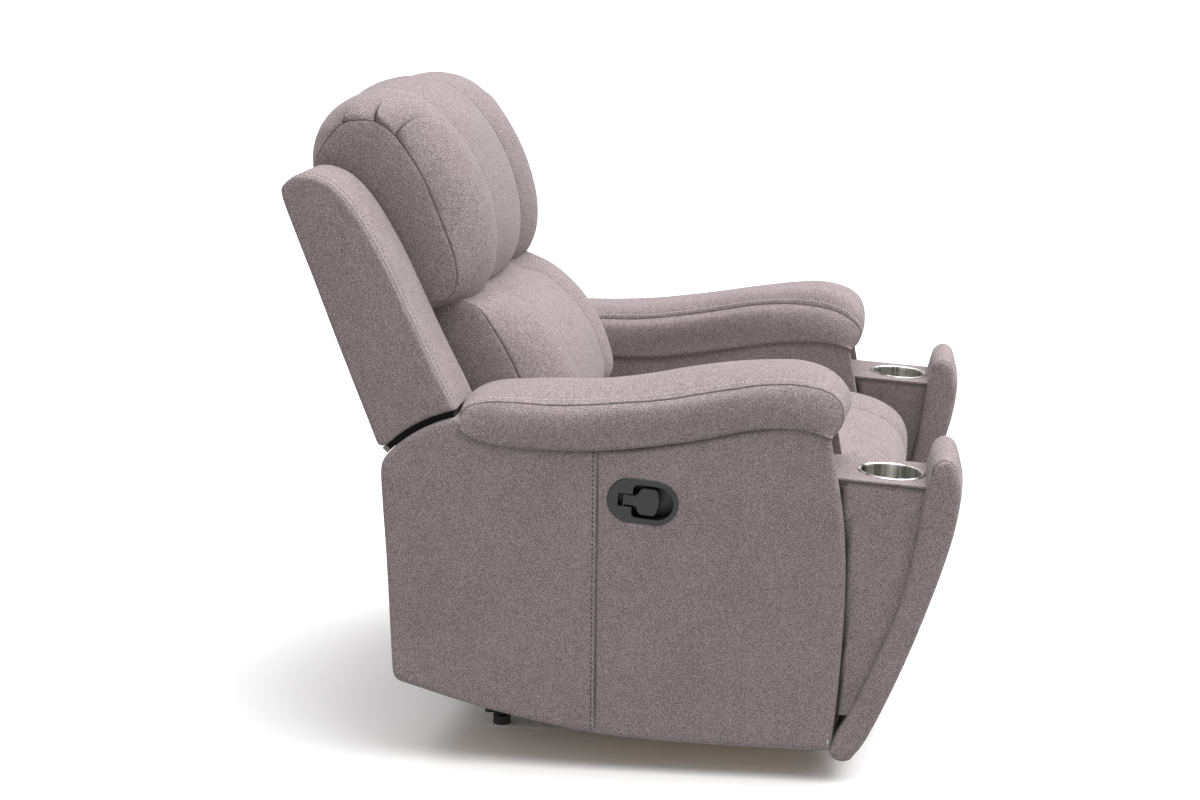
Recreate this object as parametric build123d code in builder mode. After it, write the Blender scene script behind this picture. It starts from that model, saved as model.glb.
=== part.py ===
"""Manual recliner chair with tilt-out cup-holder consoles in both arms.

+Z up, the chair faces -Y, X runs across it. The floor is Z = 0 and the origin lies
under the centre of the whole chair, with the consoles tilted out as at rest.
All lengths are millimetres.
"""
import os
from math import atan2, cos, degrees, radians, sin, sqrt

from build123d import *

os.makedirs("parts", exist_ok=True)

# ---------------------------------------------------------------- driving dimensions
SHIFT_Y = 19.0            # moves the profile datum so the origin is under the centre

ARM_IN, ARM_OUT = 282.0, 452.0      # inner and outer faces of an arm body
PANEL_T = 10.0                      # upholstered arm panel thickness
PAD_IN, PAD_OUT = 272.0, 466.0      # arm pad
PIVOT_Y, PIVOT_Z = 175.0, 335.0     # back pivot
ARM_ARC_R = 208.5                   # rounded rear shoulder of the arm, about the pivot
WING_ARC_R = 216.0                  # lower edge of the back wing, about the pivot
BACK_LEAN = 21.5                    # back angle from upright, degrees
WING_IN, WING_OUT = 308.0, 448.0

SEAT_HALF_W = 270.0
SEAT_BOTTOM, SEAT_TOP = 351.0, 455.0
SEAT_FRONT, SEAT_REAR = -432.0, 95.0

FOOT_X, FOOT_FRONT_Y, FOOT_REAR_Y = 260.0, -262.0, 191.0
FOOT_R, FOOT_H = 14.0, 20.0
RAIL_IN, RAIL_OUT, RAIL_TOP = 245.0, 275.0, 50.0

PLATE_IN, PLATE_OUT = 258.0, 262.0          # mechanism side plate
LAYER1 = (252.5, 256.5)                     # front, upper and rear swing links, brackets
LAYER2 = (247.0, 251.0)                     # cross, lower and control links
BRACKET = (266.0, 271.0)                    # back brackets

LINK_L, LINK_W = 225.0, 22.0
LINK_PIN_R = 5.0
PIN_FIT = 0.06                              # running clearance on a radius
FRONT_PIVOT = (-300.0, 310.0)
FRONT_ANGLE, CROSS_ANGLE = -100.0, 66.0     # link directions when folded, from forward
FOOTREST_TURN = 85.0

HINGE_Y, HINGE_Z, HINGE_R = -330.0, 66.0, 4.0   # console hinge rod
CONSOLE_X = 367.0                               # centre of a console
CUP_Y, CUP_R, CUP_DEPTH = -414.0, 45.5, 76.0
LID_T, LID_TILT = 12.0, 4.2
LID_FRONT = (-470.5, 455.0)                     # top front corner of the lid

LEVER_Y, LEVER_Z, LEVER_TILT = -57.0, 422.0, 5.5
BEZEL_L, BEZEL_W = 107.0, 68.0


# ---------------------------------------------------------------- reference planes
def side(x):
    """Sketch plane square to X: sketch (u, v) is (Y, Z) of the chair."""
    return Plane(origin=(x, SHIFT_Y, 0), x_dir=(0, 1, 0), z_dir=(1, 0, 0))


def low(s, a, b):
    """Lower X of the span a..b on the side s of the chair."""
    return a if s > 0 else -b


def back(n, b):
    """(Y, Z) of a point n ahead of the pivot line and b up along the leaning back."""
    t = radians(BACK_LEAN)
    return (PIVOT_Y + b * sin(t) - n * cos(t), PIVOT_Z + b * cos(t) + n * sin(t))


def step(p, length, angle):
    """Point a length away from p, the angle counted up from straight ahead."""
    return (p[0] - length * cos(radians(angle)), p[1] + length * sin(radians(angle)))


def mid(p, q):
    return ((p[0] + q[0]) / 2, (p[1] + q[1]) / 2)


# pivots of the folded footrest linkage
P_A = FRONT_PIVOT
P_M = step(P_A, LINK_L / 2, FRONT_ANGLE)          # front and cross links meet
P_AE = step(P_A, LINK_L, FRONT_ANGLE)             # front and lower links meet
P_BE = step(P_M, LINK_L / 2, CROSS_ANGLE)         # cross and upper links meet
P_BR = step(P_M, -LINK_L / 2, CROSS_ANGLE)        # tail of the cross link
P_DM = step(P_AE, LINK_L / 2, CROSS_ANGLE)        # lower and upper links cross
P_DE = step(P_AE, LINK_L, CROSS_ANGLE)            # lower link carries the bracket
P_EE = step(P_BE, LINK_L, FRONT_ANGLE)            # tail of the upper link
P_R = (-204.9, 205.8)                             # rear swing link on the side plate
P_G2 = (P_DE[0] - 9.5, P_DE[1] - 102.2)           # control link on the bracket

LID_Z = LID_FRONT[1] + (CUP_Y - LID_FRONT[0]) * sin(radians(LID_TILT)) / cos(radians(LID_TILT))
SIDES = (("left", 1), ("right", -1))
pieces = []

# ---------------------------------------------------------------- base
with BuildPart() as floor_glides:
    with BuildSketch(Plane.XY):
        with Locations(*[(sx * FOOT_X, y + SHIFT_Y) for sx in (-1, 1) for y in (FOOT_FRONT_Y, FOOT_REAR_Y)]):
            Circle(FOOT_R)
    extrude(amount=FOOT_H - 6)
    with BuildSketch(Plane.XY.offset(FOOT_H - 6)):
        with Locations(*[(sx * FOOT_X, y + SHIFT_Y) for sx in (-1, 1) for y in (FOOT_FRONT_Y, FOOT_REAR_Y)]):
            Circle(7)
    extrude(amount=6)
floor_glides.part.label = "floor_glides"
pieces.append(floor_glides)

with BuildPart() as base_rails:
    for s in (1, -1):
        with BuildSketch(side(low(s, RAIL_IN, RAIL_OUT))):
            with BuildLine():
                Polyline((-285, 20), (215, 20), (215, RAIL_TOP), (-285, RAIL_TOP), close=True)
            make_face()
        extrude(amount=RAIL_OUT - RAIL_IN)
    fillet(base_rails.edges().filter_by(Axis.Y), radius=3)
base_rails.part.label = "base_rails"
pieces.append(base_rails)

with BuildPart() as base_cross_tubes:
    with BuildSketch(side(-RAIL_IN)):
        with Locations((-235, 35), (160, 35)):
            Circle(11)
            Circle(9, mode=Mode.SUBTRACT)
    extrude(amount=2 * RAIL_IN)
base_cross_tubes.part.label = "base_cross_tubes"
pieces.append(base_cross_tubes)

ARM_BOLTS = ((-80.0, 120.0), (30.0, 120.0), (-80.0, 225.0), (60.0, 225.0))
for name, s in SIDES:
    with BuildPart() as side_plate:
        with BuildSketch(side(low(s, PLATE_IN, PLATE_OUT))):
            with BuildLine():
                Polyline((-320, 330), (-320, 296), (-226, 196), (-205, 184), (-150, 160), (-120, RAIL_TOP),
                         (70, RAIL_TOP), (120, 160), (192, 300), (200, 335), (196, 352), (170, 360),
                         (140, 345), (110, 330), close=True)
            make_face()
            with Locations((-110, 279), (110, 279)):
                Circle(11, mode=Mode.SUBTRACT)
            with Locations(P_A, P_R):
                Circle(LINK_PIN_R, mode=Mode.SUBTRACT)
            with Locations((PIVOT_Y, PIVOT_Z)):
                Circle(8, mode=Mode.SUBTRACT)
            with Locations(*ARM_BOLTS):
                Circle(4, mode=Mode.SUBTRACT)
        extrude(amount=PLATE_OUT - PLATE_IN)
    side_plate.part.label = f"side_plate_{name}"
    pieces.append(side_plate)

with BuildPart() as mechanism_cross_tubes:
    with BuildSketch(side(-PLATE_OUT)):
        with Locations((-110, 279), (110, 279)):
            Circle(11)
            Circle(9, mode=Mode.SUBTRACT)
    extrude(amount=2 * PLATE_OUT)
mechanism_cross_tubes.part.label = "mechanism_cross_tubes"
pieces.append(mechanism_cross_tubes)

with BuildPart() as plate_rivets:
    with BuildSketch(side(251.8)):
        with Locations(P_A, P_R):
            Circle(LINK_PIN_R)
    extrude(amount=PLATE_OUT - 251.8)
    with BuildSketch(side(PLATE_OUT)):
        with Locations(P_A, P_R):
            Circle(9)
    extrude(amount=2)
    mirror(about=Plane.YZ)
plate_rivets.part.label = "plate_rivets"
pieces.append(plate_rivets)

with BuildPart() as back_pivot_bolts:
    with BuildSketch(side(254)):
        with Locations((PIVOT_Y, PIVOT_Z)):
            Circle(13)
    extrude(amount=PLATE_IN - 254)
    with BuildSketch(side(PLATE_IN)):
        with Locations((PIVOT_Y, PIVOT_Z)):
            Circle(8)
    extrude(amount=18)
    with BuildSketch(side(PLATE_OUT)):
        with Locations((PIVOT_Y, PIVOT_Z)):
            Circle(14)
    extrude(amount=3.7)
    with BuildSketch(side(BRACKET[1] + 0.3)):
        with Locations((PIVOT_Y, PIVOT_Z)):
            RegularPolygon(13, 6)
    extrude(amount=7)
    mirror(about=Plane.YZ)
back_pivot_bolts.part.label = "back_pivot_bolts"
pieces.append(back_pivot_bolts)

with BuildPart() as arm_bolts:
    with BuildSketch(side(PLATE_IN - 5)):
        with Locations(*ARM_BOLTS):
            RegularPolygon(8, 6)
    extrude(amount=5)
    with BuildSketch(side(PLATE_IN)):
        with Locations(*ARM_BOLTS):
            Circle(4)
    extrude(amount=ARM_IN + PANEL_T - PLATE_IN)
    with BuildSketch(side(PLATE_OUT)):
        with Locations(*ARM_BOLTS):
            Circle(9)
    extrude(amount=ARM_IN - PLATE_OUT)
    with BuildSketch(side(ARM_IN + PANEL_T)):
        with Locations(*ARM_BOLTS):
            Circle(9)
    extrude(amount=4)
    mirror(about=Plane.YZ)
arm_bolts.part.label = "arm_bolts"
pieces.append(arm_bolts)

# ---------------------------------------------------------------- seat
with BuildPart() as seat_side_rails:
    for s in (1, -1):
        with BuildSketch(side(low(s, 214, 244))):
            with BuildLine():
                Polyline((-330, 290), (90, 290), (90, 345), (-330, 345), close=True)
            make_face()
        extrude(amount=30)
seat_side_rails.part.label = "seat_side_rails"
pieces.append(seat_side_rails)

with BuildPart() as seat_front_rail:
    with BuildSketch(side(-214)):
        with BuildLine():
            Polyline((-330, 292), (-302, 292), (-302, 345), (-330, 345), close=True)
        make_face()
    extrude(amount=428)
seat_front_rail.part.label = "seat_front_rail"
pieces.append(seat_front_rail)

with BuildPart() as seat_rear_rail:
    with BuildSketch(side(-214)):
        with BuildLine():
            Polyline((62, 292), (90, 292), (90, 345), (62, 345), close=True)
        make_face()
    extrude(amount=428)
seat_rear_rail.part.label = "seat_rear_rail"
pieces.append(seat_rear_rail)

SPRING_Z, SPRING_W, SPRING_AMP, SPRING_PITCH = 345.2, 4.0, 24.0, 48.0
with BuildPart() as seat_springs:
    with BuildSketch(Plane.XY.offset(SPRING_Z)):
        for sx in (-160, -80, 0, 80, 160):
            ys = [-322 + SHIFT_Y + i * SPRING_PITCH / 2 for i in range(17)]
            left = [(sx + (SPRING_AMP if i % 2 else -SPRING_AMP) - SPRING_W / 2, y) for i, y in enumerate(ys)]
            right = [(x + SPRING_W, y) for x, y in left]
            with BuildLine():
                Polyline(*left, *right[::-1], close=True)
            make_face()
    extrude(amount=4)
seat_springs.part.label = "seat_springs"
pieces.append(seat_springs)

with BuildPart() as seat_cushion:
    with BuildSketch(side(-SEAT_HALF_W)) as seat_outline:
        with BuildLine():
            Polyline((SEAT_FRONT, SEAT_BOTTOM), (SEAT_REAR, SEAT_BOTTOM), (SEAT_REAR, SEAT_TOP - 8),
                     (-300, SEAT_TOP), (SEAT_FRONT, SEAT_TOP), close=True)
        make_face()
        fillet(seat_outline.vertices().sort_by(Axis.X)[:2].sort_by(Axis.Y)[-1:], radius=55)
    extrude(amount=2 * SEAT_HALF_W)
seat_cushion.part.label = "seat_cushion"
pieces.append(seat_cushion)

# ---------------------------------------------------------------- arms
ARM_BOTTOM = [(316, 130), (189, 92), (11, 59), (-144, 51), (-336, 50)]
ARM_FRONT = [(-336, 50), (-346, 147), (-353, 300), (-348, 405), (-331, 506)]
PAD_UNDER = [(-345, 531), (-284, 544), (-227, 538), (-140, 520), (-54, 503), (49, 499), (152, 507), (204, 526)]
ARM_TOP = [(-326, 533), (-284, 542), (-227, 536.5), (-140, 518.5), (-54, 501.5), (49, 497.5), (152, 505), (190, 517)]
PAD_TOP = [(221, 546), (209, 568), (180, 581), (115, 586), (26, 589), (-58, 600), (-117, 611), (-180, 620), (-242, 625),
           (-283, 624), (-318, 613), (-344, 592), (-356, 560), (-345, 531)]


def shoulder(y):
    return (y, PIVOT_Z + sqrt(ARM_ARC_R ** 2 - (y - PIVOT_Y) ** 2))


LEVER_PLANE = Plane(origin=(-ARM_OUT, LEVER_Y + SHIFT_Y, LEVER_Z),
                    x_dir=(0, -cos(radians(LEVER_TILT)), -sin(radians(LEVER_TILT))), z_dir=(-1, 0, 0))
CABLE_Y, CABLE_Z, CABLE_R = -40.0, 200.0, 3.0

for name, s in SIDES:
    for which, a, b in (("outer", ARM_OUT - PANEL_T, ARM_OUT), ("inner", ARM_IN, ARM_IN + PANEL_T)):
        with BuildPart() as arm_panel:
            with BuildSketch(side(low(s, a, b))):
                with BuildLine():
                    Spline(*ARM_BOTTOM)
                    Spline(*ARM_FRONT)
                    Polyline(ARM_FRONT[-1], ARM_TOP[0])
                    Spline(*ARM_TOP)
                    Polyline(ARM_TOP[-1], shoulder(226))
                    ThreePointArc(shoulder(226), shoulder(276), shoulder(322))
                    Polyline(shoulder(322), (330, 462), (325, 349), ARM_BOTTOM[0])
                make_face()
                with Locations((HINGE_Y, HINGE_Z)):
                    Circle(HINGE_R, mode=Mode.SUBTRACT)
                if which == "inner":
                    with Locations(*ARM_BOLTS):
                        Circle(4, mode=Mode.SUBTRACT)
                    if s < 0:
                        with Locations((CABLE_Y, CABLE_Z)):
                            Circle(CABLE_R + 0.3, mode=Mode.SUBTRACT)
            extrude(amount=PANEL_T)
            if which == "outer" and s < 0:
                with BuildSketch(LEVER_PLANE):
                    SlotOverall(BEZEL_L - 10, BEZEL_W - 10)
                extrude(amount=-PANEL_T - 2, mode=Mode.SUBTRACT)
        arm_panel.part.label = f"{name}_arm_{which}_panel"
        pieces.append(arm_panel)

    with BuildPart() as arm_frame:
        with BuildSketch(side(low(s, ARM_IN + PANEL_T, ARM_OUT - PANEL_T))):
            with BuildLine():
                Spline(*[(y, z - 3) for y, z in ARM_TOP[1:]])
                Polyline((190, 514), (190, 494), (49, 474), (-54, 478))
                Spline((-54, 478), (-140, 495), (-227, 513), (-284, 518))
                Polyline((-284, 518), (-284, 539))
            make_face()
            with BuildLine():
                Polyline((-176, 80), (-154, 80), (-154, 488), (-176, 488), close=True)
            make_face()
            with BuildLine():
                Polyline((296, 156), (312, 156), (322, 440), (306, 440), close=True)
            make_face()
            with BuildLine():
                Polyline((-318, 54), (-144, 54), (11, 62), (189, 95), (308, 131), (308, 151), (189, 115),
                         (11, 82), (-144, 74), (-318, 74), close=True)
            make_face()
        extrude(amount=ARM_OUT - ARM_IN - 2 * PANEL_T)
    arm_frame.part.label = f"{name}_arm_frame"
    pieces.append(arm_frame)

    with BuildPart() as arm_pad:
        with BuildSketch(side(low(s, PAD_IN, PAD_OUT))):
            with BuildLine():
                Spline(*PAD_TOP)
                Spline(*PAD_UNDER)
                Polyline(PAD_UNDER[-1], (215, 534), PAD_TOP[0])
            make_face()
        extrude(amount=PAD_OUT - PAD_IN)
    arm_pad.part.label = f"{name}_arm_pad"
    pieces.append(arm_pad)

with BuildPart() as console_hinge_rods:
    for s in (1, -1):
        with BuildSketch(side(low(s, ARM_IN, ARM_OUT))):
            with Locations((HINGE_Y, HINGE_Z)):
                Circle(HINGE_R)
        extrude(amount=ARM_OUT - ARM_IN)
console_hinge_rods.part.label = "console_hinge_rods"
pieces.append(console_hinge_rods)

with BuildPart() as rear_panel:
    with BuildSketch(side(-ARM_IN)):
        with BuildLine():
            Polyline((298, 118), (312, 122), (316, 305), (302, 305), close=True)
        make_face()
    extrude(amount=2 * ARM_IN)
rear_panel.part.label = "rear_panel"
pieces.append(rear_panel)

with BuildPart() as rear_flap:
    with BuildSketch(side(-ARM_IN + 1)):
        with BuildLine():
            Polyline((317, 250), (320, 250), (328.5, 487), (325.5, 487), close=True)
        make_face()
    extrude(amount=2 * ARM_IN - 2)
rear_flap.part.label = "rear_flap"
pieces.append(rear_flap)

# ---------------------------------------------------------------- release lever
with BuildPart() as lever_bezel:
    with BuildSketch(LEVER_PLANE):
        SlotOverall(BEZEL_L, BEZEL_W)
    extrude(amount=3)
    chamfer(lever_bezel.faces().sort_by(Axis.X)[0].edges(), length=1.5)
    with BuildSketch(LEVER_PLANE):
        SlotOverall(BEZEL_L - 10, BEZEL_W - 10)
    extrude(amount=-32)
    with BuildSketch(LEVER_PLANE.offset(4)) as finger_pocket:
        with Locations((4, 0)):
            Rectangle(40, 50)
        with Locations((20, 0)):
            Circle(25)
        fillet(finger_pocket.vertices().sort_by(Axis.X)[:2], radius=8)
    extrude(amount=-31, mode=Mode.SUBTRACT)
    with BuildSketch(LEVER_PLANE.offset(4)):
        with Locations((-25, 0)):
            Rectangle(24, 19.5)
    extrude(amount=-17, mode=Mode.SUBTRACT)
    with BuildSketch(Plane(origin=LEVER_PLANE.from_local_coords((-29, -15, -4)), z_dir=LEVER_PLANE.y_dir)):
        Circle(2)
    extrude(amount=30, mode=Mode.SUBTRACT)
lever_bezel.part.label = "lever_bezel"
pieces.append(lever_bezel)

with BuildPart() as lever_pin:
    with BuildSketch(Plane(origin=LEVER_PLANE.from_local_coords((-29, -14, -4)), z_dir=LEVER_PLANE.y_dir)):
        Circle(2)
    extrude(amount=28)
lever_pin.part.label = "lever_pin"
pieces.append(lever_pin)

with BuildPart() as lever_paddle:
    with BuildSketch(LEVER_PLANE.offset(-8)) as paddle_outline:
        with Locations((-19, 0)):
            Rectangle(26, 17.4)
        with Locations((6.5, 0)):
            Rectangle(35, 42)
        fillet(paddle_outline.vertices().group_by(Axis.Y)[0] + paddle_outline.vertices().group_by(Axis.Y)[-1], radius=3)
    extrude(amount=8)
    with BuildSketch(Plane(origin=LEVER_PLANE.from_local_coords((-29, -12, -4)), z_dir=LEVER_PLANE.y_dir)):
        Circle(2 + 0.05)
    extrude(amount=24, mode=Mode.SUBTRACT)
lever_paddle.part.label = "lever_paddle"
pieces.append(lever_paddle)

with BuildPart() as release_cable:
    with BuildLine() as cable_path:
        FilletPolyline((-ARM_OUT + 32, CABLE_Y + SHIFT_Y, 424), (-CONSOLE_X, CABLE_Y + SHIFT_Y, 424),
                       (-CONSOLE_X, CABLE_Y + SHIFT_Y, CABLE_Z), (-PLATE_OUT, CABLE_Y + SHIFT_Y, CABLE_Z), radius=40)
    with BuildSketch(Plane(origin=(-ARM_OUT + 32, CABLE_Y + SHIFT_Y, 424), z_dir=(1, 0, 0))):
        Circle(CABLE_R)
    sweep(path=cable_path.wires()[0])
release_cable.part.label = "release_cable"
pieces.append(release_cable)

# ---------------------------------------------------------------- back
with BuildPart() as back_posts:
    for s in (1, -1):
        with BuildSketch(side(low(s, 236, BRACKET[0]))):
            with BuildLine():
                Polyline(back(-80, 70), back(-45, 70), back(-45, 600), back(-80, 600), close=True)
            make_face()
        extrude(amount=BRACKET[0] - 236)
back_posts.part.label = "back_posts"
pieces.append(back_posts)

with BuildPart() as back_cross_rails:
    with BuildSketch(side(-236)):
        for b0 in (130, 345, 560):
            with BuildLine():
                Polyline(back(-80, b0), back(-45, b0), back(-45, b0 + 40), back(-80, b0 + 40), close=True)
            make_face()
    extrude(amount=472)
back_cross_rails.part.label = "back_cross_rails"
pieces.append(back_cross_rails)

with BuildPart() as back_brackets:
    with BuildSketch(side(BRACKET[0])):
        with BuildLine():
            Polyline(back(14, 4), back(-12, 50), back(-52, 88), back(-52, 330), back(-76, 330), back(-76, 90),
                     back(-16, -8), close=True)
        make_face()
        with Locations((PIVOT_Y, PIVOT_Z)):
            Circle(20)
            Circle(8 + PIN_FIT, mode=Mode.SUBTRACT)
    extrude(amount=BRACKET[1] - BRACKET[0])
    mirror(about=Plane.YZ)
back_brackets.part.label = "back_brackets"
pieces.append(back_brackets)

with BuildPart() as back_cover:
    with BuildSketch(side(-WING_IN + 0.5)):
        with BuildLine():
            Polyline(back(-85.5, 204), back(-80.5, 204), back(-80.5, 604), back(-85.5, 604), close=True)
        make_face()
    extrude(amount=2 * WING_IN - 1)
back_cover.part.label = "back_cover"
pieces.append(back_cover)

WING_EDGE = [(34, sqrt(WING_ARC_R ** 2 - 34 ** 2)), (33, 240), (28, 298), (21, 436), (15, 492), (10, 525), (1, 560),
             (-12, 588), (-30, 607), (-53, 617), (-75, 612), (-85.5, 596)]
for name, s in SIDES:
    with BuildPart() as back_wing:
        with BuildSketch(side(low(s, WING_IN, WING_OUT))):
            with BuildLine():
                Spline(*[back(n, b) for n, b in WING_EDGE])
                Polyline(back(-85.5, 596), back(-85.5, sqrt(WING_ARC_R ** 2 - 85.5 ** 2)))
                ThreePointArc(back(-85.5, sqrt(WING_ARC_R ** 2 - 85.5 ** 2)),
                              back(-26, sqrt(WING_ARC_R ** 2 - 26 ** 2)), back(*WING_EDGE[0]))
            make_face()
        extrude(amount=WING_OUT - WING_IN)
    back_wing.part.label = f"{name}_back_wing"
    pieces.append(back_wing)

with BuildPart() as head_cushion:
    with BuildSketch(side(-294)):
        with BuildLine():
            Spline(*[back(n, b) for n, b in ((-80, 609), (-70, 638), (-42, 664), (0, 681), (36, 681), (60, 672), (86, 651), (107, 618),
                                             (121, 580), (129, 537), (131, 494), (127, 451), (116, 415), (97, 386), (60, 370))])
            Polyline(back(60, 370), back(-42, 368), back(-42, 609), back(-80, 609))
        make_face()
    extrude(amount=588)
head_cushion.part.label = "head_cushion"
pieces.append(head_cushion)

with BuildPart() as lumbar_cushion:
    with BuildSketch(side(-268)):
        with BuildLine():
            Spline(*[back(n, b) for n, b in ((48, 362), (78, 334), (108, 308), (136, 266), (152, 210), (155, 155), (146, 112),
                                             (120, 93), (70, 88))])
            Polyline(back(70, 88), back(-42, 92), back(-42, 362), back(48, 362))
        make_face()
    extrude(amount=536)
lumbar_cushion.part.label = "lumbar_cushion"
pieces.append(lumbar_cushion)


# ---------------------------------------------------------------- footrest linkage
def slope(p, q):
    """Angle of the line p to q in the side sketch, degrees."""
    return degrees(atan2(q[1] - p[1], q[0] - p[0]))


def span(p, q):
    return sqrt((q[0] - p[0]) ** 2 + (q[1] - p[1]) ** 2)


LINKS = (
    # label, layer, ends, running holes, tight holes
    ("front_links", LAYER1, P_A, P_AE, (P_A,), (P_M, P_AE)),
    ("cross_links", LAYER2, P_BR, P_BE, (P_M,), (P_BE,)),
    ("lower_links", LAYER2, P_AE, P_DE, (P_AE,), (P_DM, P_DE)),
    ("upper_links", LAYER1, P_BE, P_EE, (P_BE, P_DM), ()),
    ("rear_swing_links", LAYER1, P_R, P_BR, (P_R,), ()),
    ("control_links", LAYER2, P_G2, P_EE, (P_G2,), ()),
)
for label, layer, p, q, loose, tight in LINKS:
    with BuildPart() as link:
        with BuildSketch(side(layer[0])):
            with Locations(mid(p, q)):
                SlotCenterToCenter(span(p, q), LINK_W, rotation=slope(p, q))
            for c in loose:
                with Locations(c):
                    Circle(LINK_PIN_R + PIN_FIT, mode=Mode.SUBTRACT)
            for c in tight:
                with Locations(c):
                    Circle(LINK_PIN_R, mode=Mode.SUBTRACT)
        extrude(amount=layer[1] - layer[0])
        mirror(about=Plane.YZ)
    link.part.label = label
    pieces.append(link)

# rivets fixed in the outer layer, running in the inner layer
for label, points in (("front_link_rivets", (P_M, P_AE)), ("bracket_rivets", (P_G2,))):
    with BuildPart() as rivets:
        with BuildSketch(side(245.2)):
            with Locations(*points):
                Circle(9)
        extrude(amount=1.4)
        with BuildSketch(side(245.2)):
            with Locations(*points):
                Circle(LINK_PIN_R)
        extrude(amount=LAYER1[1] - 245.2)
        with BuildSketch(side(LAYER1[1])):
            with Locations(*points):
                Circle(8)
        extrude(amount=1.1)
        mirror(about=Plane.YZ)
    rivets.part.label = label
    pieces.append(rivets)

# rivets fixed in the inner layer, running in the outer layer
for label, points in (("cross_link_rivets", (P_BE,)), ("lower_link_rivets", (P_DM, P_DE))):
    with BuildPart() as rivets:
        with BuildSketch(side(245.6)):
            with Locations(*points):
                Circle(9)
        extrude(amount=1.4)
        with BuildSketch(side(245.6)):
            with Locations(*points):
                Circle(LINK_PIN_R)
        extrude(amount=257.0 - 245.6)
        with BuildSketch(side(256.9)):
            with Locations(*points):
                Circle(8)
        extrude(amount=0.8)
        mirror(about=Plane.YZ)
    rivets.part.label = label
    pieces.append(rivets)

BOARD_REAR, BOARD_FRONT = -375.0, -390.0
with BuildPart() as footrest_brackets:
    with BuildSketch(side(LAYER1[0])):
        with BuildLine():
            Polyline((P_DE[0] + 9, P_DE[1] - 9), (P_G2[0] + 10, P_G2[1] - 4), (P_G2[0] - 2, P_G2[1] - 12),
                     (BOARD_REAR, 176), (BOARD_REAR, 312), (P_DE[0] - 4, P_DE[1] + 12), close=True)
        make_face()
        with Locations(P_DE):
            Circle(12)
            Circle(LINK_PIN_R + PIN_FIT, mode=Mode.SUBTRACT)
        with Locations(P_G2):
            Circle(11)
            Circle(LINK_PIN_R, mode=Mode.SUBTRACT)
        with BuildLine():
            Polyline((BOARD_REAR, 160), (BOARD_REAR - 12, 160), (BOARD_REAR - 12, 330), (BOARD_REAR, 330), close=True)
        make_face(mode=Mode.SUBTRACT)
    extrude(amount=LAYER1[1] - LAYER1[0])
    mirror(about=Plane.YZ)
footrest_brackets.part.label = "footrest_brackets"
pieces.append(footrest_brackets)

with BuildPart() as footrest_board:
    with BuildSketch(side(-262)):
        with BuildLine():
            Polyline((BOARD_FRONT, 75), (BOARD_REAR, 75), (BOARD_REAR, 324), (BOARD_FRONT, 324), close=True)
        make_face()
    extrude(amount=524)
footrest_board.part.label = "footrest_board"
pieces.append(footrest_board)

with BuildPart() as footrest_pad:
    with BuildSketch(side(-SEAT_HALF_W + 2)) as pad_outline:
        with BuildLine():
            Polyline((-428, 72), (BOARD_FRONT, 72), (BOARD_FRONT, 326), (-428, 326), close=True)
        make_face()
        fillet(pad_outline.vertices().sort_by(Axis.X)[:2], radius=18)
    extrude(amount=2 * SEAT_HALF_W - 4)
footrest_pad.part.label = "footrest_pad"
pieces.append(footrest_pad)

# ---------------------------------------------------------------- consoles
PANEL_INNER = [(-470, 484), (-470, 459), (-461, 395), (-440, 289), (-406, 196), (-365, 105), (-350, 78), (-343, 56)]
PANEL_OUTER = [(-367, 37), (-383, 64), (-429, 167), (-469, 272), (-489, 329), (-508, 397), (-514, 452), (-508, 482)]
LID_T_RAD = radians(LID_TILT)


def lid_plane(x):
    """Plane on the lid's top, u across the chair, v towards the back."""
    return Plane(origin=(x, CUP_Y + SHIFT_Y, LID_Z), x_dir=(1, 0, 0), z_dir=(0, -sin(LID_T_RAD), cos(LID_T_RAD)))


def on_lid(y, drop=0.0):
    z = LID_FRONT[1] + (y - LID_FRONT[0]) * sin(LID_T_RAD) / cos(LID_T_RAD)
    return (y, z - drop)


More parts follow.
